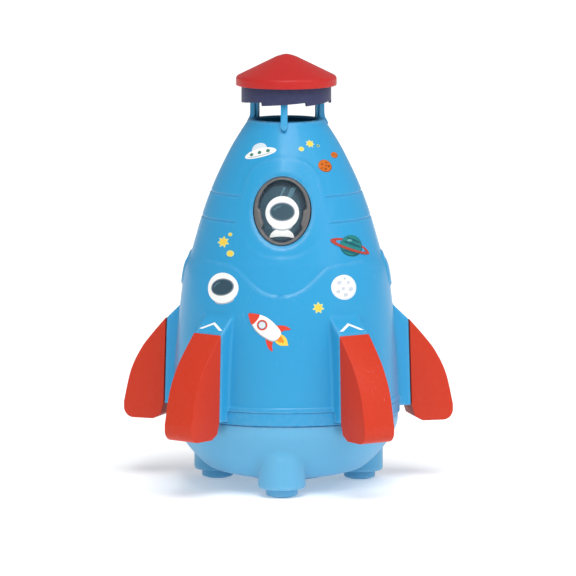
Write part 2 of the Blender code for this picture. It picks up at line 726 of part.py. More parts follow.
def make_foot_pads():
    for number, angle in enumerate(FOOT_ANGLES, 1):
        top = LUG_BOTTOM - GAP
        edge = 1.6 * MM
        foot = arc((PAD_RADIUS - edge, edge), edge, 0, -90, 2)
        profile = [(0, top), (PAD_RADIUS, top), *foot, (0, 0)]
        centre = Matrix.Translation((*place_at(FOOT_CIRCLE, angle), 0))
        show(turned(f"foot_pad_{number}", profile, SMALL_SEGMENTS, centre), base_blue, base_axis)


def make_base_deck():
    low, high = 40.0 * MM, 42.4 * MM
    boss = 9.5 * MM
    hole = COLUMN_RADIUS + GAP
    profile = [
        (boss, 45.6 * MM),
        (boss, high),
        (52.8 * MM, high),
        (52.8 * MM, low),
        (hole, low),
        (hole, 45.6 * MM),
    ]
    deck = turned("base_deck", profile, 48)
    for number, angle in enumerate(FOOT_ANGLES, 1):
        spot = place_at(FOOT_CIRCLE, angle)
        stem_low = LUG_BOTTOM + LUG_FLOOR + GAP
        join(deck, rod(f"deck_post_{number}", 3.4 * MM, stem_low, low + 1 * MM, spot, 12))
        cut(deck, rod(f"deck_pilot_{number}", 1.3 * MM, stem_low - 1 * MM, 24 * MM, spot, SCREW_SEGMENTS))
        upwards = Matrix.Translation((*spot, LUG_BOTTOM + 2.5 * MM)) @ Matrix.Rotation(math.pi, 4, "X")
        screw(f"deck_screw_{number}", 1.0 * MM, 13 * MM, 3.0 * MM, 1.8 * MM, upwards, steel, base_axis)
    for step in range(6):
        spot = place_at(30 * MM, 30 + 60 * step)
        cut(deck, rod(f"deck_drain_{step}", 3.5 * MM, 35 * MM, 45 * MM, spot, 12))
    return show(deck, base_blue, base_axis)


def make_launch_column():
    flange, foot = 8.6 * MM, 28.4 * MM
    profile = [
        (COLUMN_RADIUS, COLUMN_TOP),
        (COLUMN_RADIUS, 47.6 * MM),
        (flange, 47.6 * MM),
        (flange, 45.9 * MM),
        (COLUMN_RADIUS, 45.9 * MM),
        (COLUMN_RADIUS, foot),
        (COLUMN_BORE, foot),
        (COLUMN_BORE, COLUMN_TOP),
    ]
    return show(turned("launch_column", profile, SMALL_SEGMENTS), white_plastic, base_axis)


def make_nozzle_tip():
    stem, jet = COLUMN_BORE - GAP, 1.6 * MM
    head_low = COLUMN_TOP + GAP
    profile = [
        (2.6 * MM, head_low + 3 * MM),
        (5.4 * MM, head_low + 1.4 * MM),
        (5.4 * MM, head_low),
        (stem, head_low),
        (stem, COLUMN_TOP - 8 * MM),
        (stem - 1.0 * MM, COLUMN_TOP - 8 * MM),
        (jet, COLUMN_TOP - 2 * MM),
        (jet, head_low + 3 * MM),
    ]
    return show(turned("nozzle_tip", profile, 16), brass, base_axis)


def make_water_elbow():
    """The pipe from the hose inlet to the foot of the column."""
    pipe, bore, socket = 6.0 * MM, 4.0 * MM, 8.4 * MM
    socket_low, socket_top = 26.0 * MM, 36.0 * MM
    elbow = rod("water_elbow", pipe, INLET_HEIGHT - pipe - 1.5 * MM, socket_low + 1 * MM)
    join(elbow, rod("elbow_socket", socket, socket_low, socket_top))
    join(elbow, rod("elbow_pipe", pipe - 0.05 * MM, 0, 48 * MM, matrix=lying(INLET_HEIGHT)))
    cut(elbow, rod("elbow_rise", bore, INLET_HEIGHT - 2 * MM, 40 * MM))
    cut(elbow, rod("elbow_run", bore - 0.05 * MM, 0, 60 * MM, matrix=lying(INLET_HEIGHT)))
    cut(elbow, rod("elbow_seat", COLUMN_RADIUS + GAP, 28.0 * MM, 40 * MM))
    show(elbow, white_plastic, base_axis)
    seal = torus("column_o_ring", 7.35 * MM, 0.9 * MM, Matrix.Translation((0, 0, socket_top + 1.25 * MM)))
    show(seal, black_rubber, base_axis)


def make_inlet():
    """The hose nipple, put in from inside the bowl and held by a nut outside."""
    shoulder, inside_end = BOSS_RADIUS - WALL - 0.4 * MM, 36.0 * MM
    seat = BOSS_FACE - WALL - GAP
    bore, socket, socket_end = 4.6 * MM, 6.3 * MM, 48.4 * MM
    groove, seal_at = 6.1 * MM, 78.5 * MM
    profile = [
        (INLET_RADIUS - 1.2 * MM, INLET_REACH),
        (INLET_RADIUS, INLET_REACH - 1.2 * MM),
        (INLET_RADIUS, seal_at + 1.2 * MM),
        (groove, seal_at + 1.2 * MM),
        (groove, seal_at - 1.2 * MM),
        (INLET_RADIUS, seal_at - 1.2 * MM),
        (INLET_RADIUS, 74.0 * MM),
        (6.6 * MM, 73.0 * MM),
        (6.6 * MM, 70.5 * MM),
        (INLET_RADIUS, 69.0 * MM),
        (INLET_RADIUS, seat),
        (shoulder, seat),
        (shoulder, inside_end),
        (socket, inside_end),
        (socket, socket_end),
        (bore, socket_end),
        (bore, INLET_REACH),
    ]
    along = lying(INLET_HEIGHT)
    show(turned("inlet_nipple", profile, 20, along), white_plastic, base_axis)
    seal = torus("inlet_o_ring", 7.3 * MM, 0.9 * MM, along @ Matrix.Translation((0, 0, seal_at)))
    show(seal, black_rubber, base_axis)
    washer = BOSS_FACE + GAP, BOSS_FACE + 1.5 * MM
    gasket = ring("inlet_gasket", INLET_RADIUS + GAP, 11.0 * MM, *washer, SMALL_SEGMENTS, along)
    show(gasket, black_rubber, base_axis)
    nut_low = BOSS_FACE + 1.8 * MM
    nut = rod("inlet_nut", 12.5 * MM, nut_low, nut_low + 4.2 * MM, steps=6, matrix=along)
    hole = rod("nut_hole", INLET_RADIUS + GAP, nut_low - 5 * MM, nut_low + 9 * MM, matrix=along)
    show(cut(nut, hole), white_plastic, base_axis)
    screen = rod("filter_screen", bore - GAP, 49.2 * MM, 50.2 * MM, steps=SMALL_SEGMENTS, matrix=along)
    for step in range(5):
        spot = (0, 0) if step == 4 else place_at(2.6 * MM, 90 * step)
        cut(screen, rod(f"screen_hole_{step}", 0.9 * MM, 45 * MM, 55 * MM, spot, 6, along))
    show(screen, steel, base_axis)


make_base_bowl()
make_base_deck()
make_bottom_cover()
make_foot_pads()
make_launch_column()
make_nozzle_tip()
make_water_elbow()
make_inlet()
make_glide_bush()
make_guide_spider()
make_skirt_ring()
make_body_shell()
make_window()
make_fins()
make_deflector_ring()
make_nose_cap()

for made in bpy.data.objects:
    for change in made.modifiers:
        change.show_viewport = change.show_render = True
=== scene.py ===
# The looks of a garden-hose space rocket toy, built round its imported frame.
# Sizes are millimetres about the toy's upright axis. Angle 0 is the front, and positive goes to the right.
import itertools
import json
import math

import bmesh
import bpy
import numpy as np
from mathutils import Matrix, Vector, geometry


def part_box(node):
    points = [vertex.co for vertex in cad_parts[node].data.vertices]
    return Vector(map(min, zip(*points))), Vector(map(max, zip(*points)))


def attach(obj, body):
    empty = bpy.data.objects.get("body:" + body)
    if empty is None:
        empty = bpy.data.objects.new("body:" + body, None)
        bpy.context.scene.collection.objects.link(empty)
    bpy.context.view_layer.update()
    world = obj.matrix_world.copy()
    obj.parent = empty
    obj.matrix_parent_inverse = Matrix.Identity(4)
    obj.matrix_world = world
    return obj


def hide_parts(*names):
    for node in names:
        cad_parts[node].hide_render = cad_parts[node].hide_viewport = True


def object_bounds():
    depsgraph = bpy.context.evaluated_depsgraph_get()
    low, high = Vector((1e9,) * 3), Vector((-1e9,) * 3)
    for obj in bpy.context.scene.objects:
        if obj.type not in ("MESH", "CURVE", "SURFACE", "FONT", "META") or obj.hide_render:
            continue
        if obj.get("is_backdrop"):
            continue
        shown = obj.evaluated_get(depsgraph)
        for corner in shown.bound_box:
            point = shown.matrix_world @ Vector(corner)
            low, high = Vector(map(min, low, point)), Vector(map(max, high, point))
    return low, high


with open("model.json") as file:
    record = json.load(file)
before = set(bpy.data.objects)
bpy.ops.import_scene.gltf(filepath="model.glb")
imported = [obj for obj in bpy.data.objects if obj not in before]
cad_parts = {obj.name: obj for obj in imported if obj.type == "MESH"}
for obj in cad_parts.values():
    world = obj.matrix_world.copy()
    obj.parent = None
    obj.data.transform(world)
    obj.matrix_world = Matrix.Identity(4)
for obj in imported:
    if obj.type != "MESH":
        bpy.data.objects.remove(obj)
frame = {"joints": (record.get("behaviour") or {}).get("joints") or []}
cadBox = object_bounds()
mm = 0.001
spinJoint = next(joint for joint in frame["joints"] if joint["name"] == "rocket_spin")
toFrame = Matrix.Translation((0, spinJoint["pos_m"][1], 0)) @ Matrix.Scale(mm, 4)


def boxOf(node):
    # lowest and highest corner of a CAD node, in millimetres about the axis
    low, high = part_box(node)
    back = toFrame.inverted()
    return back @ low, back @ high


# camera, light and floor
studio = {
    "cameraAngle": 3.1,
    "cameraDistance": 3647.0,
    "cameraHeight": 570.7,
    "cameraPitch": 7.277,
    "cameraYaw": -0.0141,
    "lens": 432.55,
    "worldColor": (0.96, 0.98, 1.0),
    "worldStrength": 0.40,
    "suns": [("key", 14, 60, 1.68, 35, (1, 1, 1)), ("fill", 70, 30, 0.14, 60, (0.95, 0.95, 1))],
    # name, angle, height, distance, size, power, color
    "panels": [
        ("strip", -4, 1500, 1350, (190, 650), 4.2),
        ("right_strip", 58, 900, 1100, (600, 900), 2.6, (0.95, 0.93, 1.0)),
    ],
    "floorColor": (0.95, 0.95, 0.95),
    "floorGlow": 0.28,
    "floorHalf": 30000.0,
}


def addCamera():
    angle = math.radians(studio["cameraAngle"])
    data = bpy.data.cameras.new("camera")
    data.lens = studio["lens"]
    data.clip_end = 100
    camera = bpy.data.objects.new("camera", data)
    reach = studio["cameraDistance"]
    spot = Vector((reach * math.sin(angle), -reach * math.cos(angle), studio["cameraHeight"]))
    camera.location = toFrame @ spot
    tilt = math.radians(90 - studio["cameraPitch"])
    camera.rotation_euler = (tilt, 0, angle + math.radians(studio["cameraYaw"]))
    bpy.context.scene.collection.objects.link(camera)
    bpy.context.scene.camera = camera


def addLight(name, angle, height, distance, size, power, color=(1, 1, 1), aim=120.0):
    data = bpy.data.lights.new(name, "AREA")
    data.shape = "RECTANGLE"
    data.size, data.size_y = size[0] * mm, size[1] * mm
    data.energy = power
    data.color = color
    lamp = bpy.data.objects.new(name, data)
    turn = math.radians(angle)
    spot = Vector((distance * math.sin(turn), -distance * math.cos(turn), height))
    lamp.location = toFrame @ spot
    lamp.rotation_euler = (Vector((0, 0, aim)) - spot).to_track_quat("-Z", "Y").to_euler()
    bpy.context.scene.collection.objects.link(lamp)


def addStudio():
    world = bpy.data.worlds.new("studio")
    bpy.context.scene.world = world
    world.use_nodes = True
    sky = world.node_tree.nodes["Background"]
    sky.inputs["Color"].default_value = (*studio["worldColor"], 1)
    sky.inputs["Strength"].default_value = studio["worldStrength"]
    for name, angle, elevation, strength, spread, color in studio["suns"]:
        data = bpy.data.lights.new(name, "SUN")
        data.energy, data.angle, data.color = strength, math.radians(spread), color
        lamp = bpy.data.objects.new(name, data)
        lamp.rotation_euler = (math.radians(90 - elevation), 0, math.radians(angle))
        bpy.context.scene.collection.objects.link(lamp)
    for panel in studio["panels"]:
        addLight(*panel)
    half = studio["floorHalf"] * mm
    mesh = bpy.data.meshes.new("floor")
    corners = [(-half, -half, 0), (half, -half, 0), (half, half, 0), (-half, half, 0)]
    mesh.from_pydata(corners, [], [(0, 1, 2, 3)])
    floor = bpy.data.objects.new("floor", mesh)
    bpy.context.scene.collection.objects.link(floor)
    paint = bpy.data.materials.new("floor")
    paint.use_nodes = True
    surface = paint.node_tree.nodes["Principled BSDF"]
    surface.inputs["Base Color"].default_value = (*studio["floorColor"], 1)
    surface.inputs["Roughness"].default_value = 0.9
    surface.inputs["Specular IOR Level"].default_value = 0.1
    surface.inputs["Emission Color"].default_value = (1, 1, 1, 1)
    surface.inputs["Emission Strength"].default_value = studio["floorGlow"]
    mesh.materials.append(paint)
    floor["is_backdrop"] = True
    bpy.context.scene.view_settings.view_transform = "Standard"


addCamera()
addStudio()
print("studio ready")


# shader groups and materials
def node(tree, kind, inputs=None, **settings):
    # a new node; each input is a value, or a socket to link
    made = tree.nodes.new(kind)
    for name, value in settings.items():
        setattr(made, name, value)
    for key, value in (inputs or {}).items():
        socket = made.inputs[key]
        if isinstance(value, bpy.types.NodeSocket):
            tree.links.new(value, socket)
        else:
            socket.default_value = value
    return made


def math2(tree, operation, a, b=0.0, clamp=False):
    return node(tree, "ShaderNodeMath", {0: a, 1: b}, operation=operation, use_clamp=clamp).outputs[0]


def newGroup(name, inputs, outputs):
    group = bpy.data.node_groups.new(name, "ShaderNodeTree")
    kinds = {"color": "NodeSocketColor", "float": "NodeSocketFloat"}
    for label, kind, value in inputs:
        socket = group.interface.new_socket(label, in_out="INPUT", socket_type=kinds[kind])
        socket.default_value = value
    for label, kind in outputs:
        group.interface.new_socket(label, in_out="OUTPUT", socket_type=kinds[kind])
    return group, group.nodes.new("NodeGroupInput").outputs, group.nodes.new("NodeGroupOutput").inputs


def makeMouldedSkin():
    # colour drift, flow marks, fine grain, hairline scratches, rubbed edges and painted shade in corners
    group, given, out = newGroup(
        "mouldedSkin",
        [
            ("Color", "color", (0.5, 0.5, 0.5, 1)),
            ("Drift", "float", 0.06),
            ("Roughness", "float", 0.35),
            ("Grain Scale", "float", 1500.0),
            ("Scratches", "float", 0.3),
            ("Rub", "float", 0.3),
            ("Dust", "float", 0.3),
        ],
        [("Color", "color"), ("Roughness", "float"), ("Height", "float")],
    )

    def between(value, low, high, least=0.0):
        return node(group, "ShaderNodeMapRange", {0: value, 1: low, 2: high, 3: least, 4: 1.0}).outputs[0]

    place = group.nodes.new("ShaderNodeTexCoord").outputs["Object"]
    drift = node(group, "ShaderNodeTexNoise", {"Vector": place, "Scale": 17.0, "Detail": 3.0}).outputs[0]
    stretched = node(group, "ShaderNodeMapping", {"Vector": place, "Scale": (90, 90, 9)}).outputs[0]
    flow = node(group, "ShaderNodeTexNoise", {"Vector": stretched, "Scale": 1.0, "Detail": 2.0}).outputs[0]
    grain = node(group, "ShaderNodeTexNoise", {"Vector": place, "Detail": 2.0})
    group.links.new(given["Grain Scale"], grain.inputs["Scale"])
    grain = grain.outputs[0]
    fine = node(group, "ShaderNodeMapping", {"Vector": place, "Scale": (1300, 1300, 22)})
    fine.inputs["Rotation"].default_value = (0.35, 0.2, 0)
    hair = node(group, "ShaderNodeTexNoise", {"Vector": fine.outputs[0], "Scale": 1.0, "Detail": 1.0})
    hair = between(hair.outputs[0], 0.70, 0.76)
    patch = node(group, "ShaderNodeTexNoise", {"Vector": place, "Scale": 40.0, "Detail": 1.0}).outputs[0]
    patch = between(patch, 0.52, 0.66)
    hair = math2(group, "MULTIPLY", math2(group, "MULTIPLY", hair, patch), given["Scratches"])
    both = math2(group, "ADD", math2(group, "MULTIPLY", drift, 0.7), math2(group, "MULTIPLY", flow, 0.3))
    both = math2(group, "MULTIPLY", math2(group, "SUBTRACT", both, 0.5), given["Drift"])
    light = math2(group, "ADD", math2(group, "MULTIPLY", both, 4.0), 1.0)
    hue = node(group, "ShaderNodeHueSaturation", {"Color": given["Color"], "Value": light})
    hue.inputs["Hue"].default_value = 0.5
    turned = math2(group, "ADD", math2(group, "MULTIPLY", both, 0.35), 0.5)
    group.links.new(turned, hue.inputs["Hue"])
    # the attribute gives rubbed wear to edges that stand out, and painted shade to corners
    edge = node(group, "ShaderNodeAttribute", attribute_name="wearAndShade").outputs["Fac"]
    speckle = node(group, "ShaderNodeTexNoise", {"Vector": place, "Scale": 420.0, "Detail": 3.0}).outputs[0]
    speckle = between(speckle, 0.35, 0.6, 0.25)
    rub = math2(group, "MULTIPLY", math2(group, "MULTIPLY", edge, speckle), given["Rub"], clamp=True)
    # painted shade: corners and creases are darkened towards near black
    cornerShade = math2(group, "MULTIPLY", math2(group, "MULTIPLY", edge, -1.0), given["Dust"], clamp=True)
    pale = node(group, "ShaderNodeMix", {0: rub, 7: (0.92, 0.95, 1.0, 1)}, data_type="RGBA")
    group.links.new(hue.outputs[0], pale.inputs[6])
    dim = node(group, "ShaderNodeMix", {0: cornerShade, 6: pale.outputs[2]}, data_type="RGBA")
    dim.inputs[7].default_value = (0.10, 0.12, 0.15, 1)
    scored = node(group, "ShaderNodeMix", {0: math2(group, "MULTIPLY", hair, 0.25), 6: dim.outputs[2]},
                  data_type="RGBA")
    scored.inputs[7].default_value = (1, 1, 1, 1)
    group.links.new(scored.outputs[2], out["Color"])
    rough = math2(group, "ADD", given["Roughness"], math2(group, "MULTIPLY", both, 1.2))
    rough = math2(group, "ADD", rough, math2(group, "MULTIPLY", math2(group, "ADD", rub, cornerShade), 0.25))
    rough = math2(group, "ADD", rough, math2(group, "MULTIPLY", hair, 0.2), clamp=True)
    group.links.new(rough, out["Roughness"])
    height = math2(group, "SUBTRACT", grain, math2(group, "MULTIPLY", hair, 0.8))
    group.links.new(height, out["Height"])
    return group


mouldedSkin = makeMouldedSkin()


def plastic(
    name, color, roughness, grainDepth=0.008, coat=0.0, ink=None, alpha=1.0, metallic=0.0, shine=0.35,
    **values
):
    # a moulded material; ink names the color attribute that a print takes its colors from
    made = bpy.data.materials.new(name)
    made.use_nodes = True
    tree = made.node_tree
    surface = tree.nodes["Principled BSDF"]
    skin = node(tree, "ShaderNodeGroup", node_tree=mouldedSkin)
    skin.inputs["Color"].default_value = (*color, 1)
    skin.inputs["Roughness"].default_value = roughness
    for label, value in values.items():
        skin.inputs[label].default_value = value
    if ink:
        printed = node(tree, "ShaderNodeAttribute", attribute_name=ink)
        tree.links.new(printed.outputs["Color"], skin.inputs["Color"])
    tree.links.new(skin.outputs["Color"], surface.inputs["Base Color"])
    tree.links.new(skin.outputs["Roughness"], surface.inputs["Roughness"])
    bump = node(tree, "ShaderNodeBump", {"Height": skin.outputs["Height"], "Strength": 1.0})
    bump.inputs["Distance"].default_value = grainDepth * mm
    tree.links.new(bump.outputs[0], surface.inputs["Normal"])
    surface.inputs["Specular IOR Level"].default_value = shine
    surface.inputs["Coat Weight"].default_value = coat
    surface.inputs["Coat Roughness"].default_value = 0.12
    surface.inputs["Alpha"].default_value = alpha
    surface.inputs["Metallic"].default_value = metallic
    return made


# every material here but the two inks darkens its corners with painted shade
bodyBlue = plastic("bodyBlue", (0.030, 0.330, 0.62), 0.34, coat=0.1, shine=0.22, Drift=0.025)
bowlBlue = plastic("bowlBlue", (0.120, 0.43, 0.68), 0.38, coat=0.05, shine=0.25, Drift=0.025)
finRed = plastic("finRed", (0.60, 0.036, 0.009), 0.46, shine=0.25, Drift=0.012, Rub=0.04, Dust=0.1)
capRed = plastic("capRed", (0.52, 0.016, 0.013), 0.42, shine=0.25, Drift=0.012, Rub=0.08, Dust=0.15)
ringNavy = plastic("ringNavy", (0.032, 0.037, 0.100), 0.5, shine=0.25, Drift=0.03, Rub=0.05, Dust=0.15)
bezelGrey = plastic("bezelGrey", (0.125, 0.120, 0.120), 0.36, coat=0.1)
whiteNylon = plastic("whiteNylon", (0.72, 0.72, 0.69), 0.42)
softRubber = plastic("softRubber", (0.022, 0.022, 0.024), 0.62, 0.02, Drift=0.2)
turnedBrass = plastic("turnedBrass", (0.72, 0.47, 0.17), 0.26, 0.004, metallic=1.0)
zincSteel = plastic("zincSteel", (0.58, 0.59, 0.61), 0.3, 0.004, metallic=1.0)
clean = {"Rub": 0.0, "Dust": 0.0}
stickerInk = plastic("stickerInk", (1, 1, 1), 0.42, 0.004, ink="ink", shine=0.25, Drift=0.02, **clean)
cardInk = plastic("cardInk", (1, 1, 1), 0.5, 0.004, ink="ink", shine=0.2, Drift=0.03, **clean)
cardBoard = plastic("cardBoard", (0.020, 0.042, 0.062), 0.6)
clearPane = plastic("clearPane", (0.35, 0.50, 0.56), 0.08, 0.001, alpha=0.025, shine=0.2)
print("materials ready")


# shape helpers
def smoothStep(value):
    value = np.clip(value, 0, 1)
    return value * value * (3 - 2 * value)


def smoothMin(a, b, width):
    near = np.maximum(width - np.abs(a - b), 0) / width
    return np.minimum(a, b) - near * near * width / 4


def smoothMax(a, b, width):
    return -smoothMin(-a, -b, width)


def smoothThrough(points, steps=12, closed=False):
    # a Catmull-Rom curve through the points
    points = [Vector(point) for point in points]
    ends = [points[-1], *points, *points[:2]] if closed else [points[0], *points, points[-1]]
    curve = []
    for a, b, c, d in zip(ends, ends[1:], ends[2:], ends[3:]):
        for step in range(steps):
            t = step / steps
            bend = (2 * a - 5 * b + 4 * c - d) * t**2 + (3 * b - a - 3 * c + d) * t**3
            curve.append(tuple((2 * b + (c - a) * t + bend) / 2))
    return curve if closed else [*curve, tuple(points[-1])]


def rounded(points, steps=5):
    # a closed outline; a third number at a corner rounds it by that radius
    outline = []
    for index, point in enumerate(points):
        if len(point) < 3:
            outline.append(tuple(point))
            continue
        here = Vector(point[:2])
        before = Vector(points[index - 1][:2]) - here
        after = Vector(points[(index + 1) % len(points)][:2]) - here
        half = before.angle(after) / 2
        reach = min(point[2] / math.tan(half), before.length * 0.49, after.length * 0.49)
        start, end = here + before.normalized() * reach, here + after.normalized() * reach
        for step in range(steps + 1):
            t = step / steps
            outline.append(tuple(start * (1 - t) ** 2 + here * 2 * t * (1 - t) + end * t**2))
    return outline


def meshFrom(name, vertices, faces):
    mesh = bpy.data.meshes.new(name)
    mesh.from_pydata([tuple(v) for v in vertices], [], [tuple(map(int, f)) for f in faces])
    work = bmesh.new()
    work.from_mesh(mesh)
    bmesh.ops.remove_doubles(work, verts=work.verts, dist=1e-4)
    bmesh.ops.recalc_face_normals(work, faces=work.faces)
    work.to_mesh(mesh)
    work.free()
    return mesh


def newObject(name, mesh):
    made = bpy.data.objects.new(name, mesh)
    bpy.context.scene.collection.objects.link(made)
    return made


def turnedMesh(name, profile, steps=128):
    # (radius, height) points: a closed loop, or an outline that starts and ends on the axis
    onAxis = abs(profile[0][0]) < 1e-9
    vertices, rings = [], []
    for radius, height in profile:
        count = 1 if abs(radius) < 1e-9 else steps
        rings.append([len(vertices) + (step if count > 1 else 0) for step in range(steps)])
        turns = [math.tau * step / steps for step in range(count)]
        vertices += [(radius * math.cos(t), radius * math.sin(t), height) for t in turns]
    faces = []
    pairs = list(zip(rings, rings[1:])) + ([] if onAxis else [(rings[-1], rings[0])])
    for upper, lower in pairs:
        for step in range(steps):
            ahead = (step + 1) % steps
            corners = [upper[step], upper[ahead], lower[ahead], lower[step]]
            face = list(dict.fromkeys(corners))
            if len(face) > 2:
                faces.append(face)
    return meshFrom(name, vertices, faces)


def prismMesh(name, outline, width, angle=0.0):
    # an upright plate of (radius, height) points, width thick, turned to stand at an angle
    count = len(outline)
    turn = math.radians(angle)
    across, away = Vector((math.cos(turn), math.sin(turn), 0)), Vector((math.sin(turn), -math.cos(turn), 0))
    vertices = []
    for side in (-width / 2, width / 2):
        vertices += [away * radius + across * side + Vector((0, 0, height)) for radius, height in outline]
    walls = [(i, (i + 1) % count, count + (i + 1) % count, count + i) for i in range(count)]
    return meshFrom(name, vertices, [list(range(count)), list(range(2 * count - 1, count - 1, -1)), *walls])


def rodMesh(name, radius, low, high, steps=48):
    return turnedMesh(name, [(0, high), (radius, high), (radius, low), (0, low)], steps)


def outwards(angle, height):
    # turns an upright mesh to point outwards at an angle, at a height
    tip = Matrix.Rotation(math.radians(90), 4, "X")
    return Matrix.Rotation(math.radians(angle), 4, "Z") @ Matrix.Translation((0, 0, height)) @ tip


def evaluated(obj):
    bpy.context.view_layer.update()
    graph = bpy.context.evaluated_depsgraph_get()
    return bpy.data.meshes.new_from_object(obj.evaluated_get(graph))


def carve(mesh, others, operation="DIFFERENCE"):
    # a Boolean with each of the other meshes, which are used up
    target = newObject("carved", mesh)
    for other in others:
        tool = newObject("tool", other)
        modifier = target.modifiers.new("carve", "BOOLEAN")
        modifier.solver = "MANIFOLD"
        modifier.operation = operation
        modifier.object = tool
        target.data = evaluated(target)
        target.modifiers.clear()
        bpy.data.objects.remove(tool)
    made = target.data
    bpy.data.objects.remove(target)
    return made


def softened(mesh, width, segments=3, angle=35):
    obj = newObject("softened", mesh)
    bevel = obj.modifiers.new("edges", "BEVEL")
    bevel.width, bevel.segments = width, segments
    bevel.limit_method, bevel.angle_limit = "ANGLE", math.radians(angle)
    made = evaluated(obj)
    bpy.data.objects.remove(obj)
    return made


def surfaceNet(field, low, high, cell):
    # a closed mesh where field(points) crosses zero; it is negative inside
    sides = [np.arange(low[i], high[i] + cell, cell) for i in range(3)]
    grid = np.stack(np.meshgrid(*sides, indexing="ij"), -1)
    values = field(grid.reshape(-1, 3)).reshape(grid.shape[:3])
    shape = np.array(values.shape) - 1
    corners = list(itertools.product((0, 1), repeat=3))

    def at(corner, array):
        return array[tuple(slice(c, c + n) for c, n in zip(corner, shape))]

    count = sum(at(corner, values < 0).astype(int) for corner in corners)
    active = (count > 0) & (count < 8)
    index = np.full(tuple(shape), -1)
    index[active] = np.arange(active.sum())
    total, hits = np.zeros((active.sum(), 3)), np.zeros(active.sum())
    for a, b in itertools.combinations(corners, 2):
        if sum(abs(p - q) for p, q in zip(a, b)) != 1:
            continue
        va, vb = at(a, values)[active], at(b, values)[active]
        crossing = (va < 0) != (vb < 0)
        t = np.where(crossing, va / np.where(crossing, va - vb, 1), 0)[:, None]
        spot = np.array(a) * (1 - t) + np.array(b) * t
        total += spot * crossing[:, None]
        hits += crossing
    points = (np.argwhere(active) + total / hits[:, None]) * cell + np.array(low)
    for _ in range(3):
        step = 0.02
        value = field(points)
        slope = np.stack([field(points + step * np.eye(3)[i]) - value for i in range(3)], -1) / step
        size = np.maximum((slope**2).sum(-1), 0.2)
        points -= np.clip(value / size, -cell / 3, cell / 3)[:, None] * slope
    faces = []
    inside = values < 0
    for axis in range(3):
        u, v = (axis + 1) % 3, (axis + 2) % 3
        here = [slice(1, -1)] * 3
        here[axis] = slice(0, -1)
        there = list(here)
        there[axis] = slice(1, None)
        change = inside[tuple(here)] != inside[tuple(there)]
        cells = np.argwhere(change)
        cells[:, u] += 1
        cells[:, v] += 1
        quad = []
        for du, dv in ((0, 0), (-1, 0), (-1, -1), (0, -1)):
            spot = cells.copy()
            spot[:, u] += du
            spot[:, v] += dv
            quad.append(index[tuple(spot.T)])
        faces.append(np.stack(quad, -1))
    return meshFrom("net", points, np.concatenate(faces))


def markWearAndShade(mesh):
    # each vertex gets how far it stands out (above 0), which drives rubbed edges, or lies in a corner (below
    # 0), which drives painted shade
    count = len(mesh.vertices)
    co, normal = np.zeros(count * 3), np.zeros(count * 3)
    mesh.vertices.foreach_get("co", co)
    mesh.vertices.foreach_get("normal", normal)
    co, normal = co.reshape(-1, 3), normal.reshape(-1, 3)
    ends = np.zeros(len(mesh.edges) * 2, int)
    mesh.edges.foreach_get("vertices", ends)
    a, b = ends.reshape(-1, 2).T
    away = co[b] - co[a]
    away /= np.maximum(np.linalg.norm(away, axis=1), 1e-9)[:, None]
    total = np.bincount(a, -(normal[a] * away).sum(1), count)
    total += np.bincount(b, (normal[b] * away).sum(1), count)
    shared = np.maximum(np.bincount(a, minlength=count) + np.bincount(b, minlength=count), 1)
    wearAndShade = np.clip(total / shared * 2.2, -1, 1)
    for _ in range(2):
        spread = np.bincount(a, wearAndShade[b], count) + np.bincount(b, wearAndShade[a], count)
        wearAndShade = wearAndShade * 0.5 + spread / shared * 0.5
    attribute = mesh.attributes.get("wearAndShade") or mesh.attributes.new("wearAndShade", "FLOAT", "POINT")
    attribute.data.foreach_set("value", wearAndShade.astype(np.float32))


def finishPiece(name, mesh, body, material, nodes=(), sharp=32):
    # the mesh goes into the frame and rides on its body
    mesh.transform(toFrame)
    mesh.name = name
    piece = newObject(name, mesh)
    mesh.shade_smooth()
    mesh.set_sharp_from_angle(angle=math.radians(sharp))
    markWearAndShade(mesh)
    if material:
        mesh.materials.clear()
        mesh.materials.append(material)
    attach(piece, body)
    if nodes:
        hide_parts(*nodes)
    return piece


# geometry node helpers
def newTree(name, inputs):
    tree = bpy.data.node_groups.new(name, "GeometryNodeTree")
    tree.interface.new_socket("Geometry", in_out="OUTPUT", socket_type="NodeSocketGeometry")
    for label, kind, value in inputs:
        socket = tree.interface.new_socket(label, in_out="INPUT", socket_type="NodeSocket" + kind)
        if value is not None:
            socket.default_value = value
    given = tree.nodes.new("NodeGroupInput").outputs
    return tree, given, tree.nodes.new("NodeGroupOutput").inputs


def endTree(tree, last, given, out):
    real = node(tree, "GeometryNodeRealizeInstances", {0: last.outputs[0]})
    painted = node(tree, "GeometryNodeSetMaterial", {"Geometry": real.outputs[0]})
    tree.links.new(given["Material"], painted.inputs["Material"])
    tree.links.new(painted.outputs[0], out[0])
    return tree


def runTree(tree, mesh, values):
    # the tree's result as a plain mesh
    carrier = newObject("carrier", mesh)
    modifier = carrier.modifiers.new(tree.name, "NODES")
    named = {item.name: item.identifier for item in tree.interface.items_tree if item.in_out == "INPUT"}
    modifier.node_group = tree
    for label, value in values.items():
        modifier[named[label]] = value
    made = evaluated(carrier)
    carrier.modifiers.clear()
    bpy.data.objects.remove(carrier)
    return made


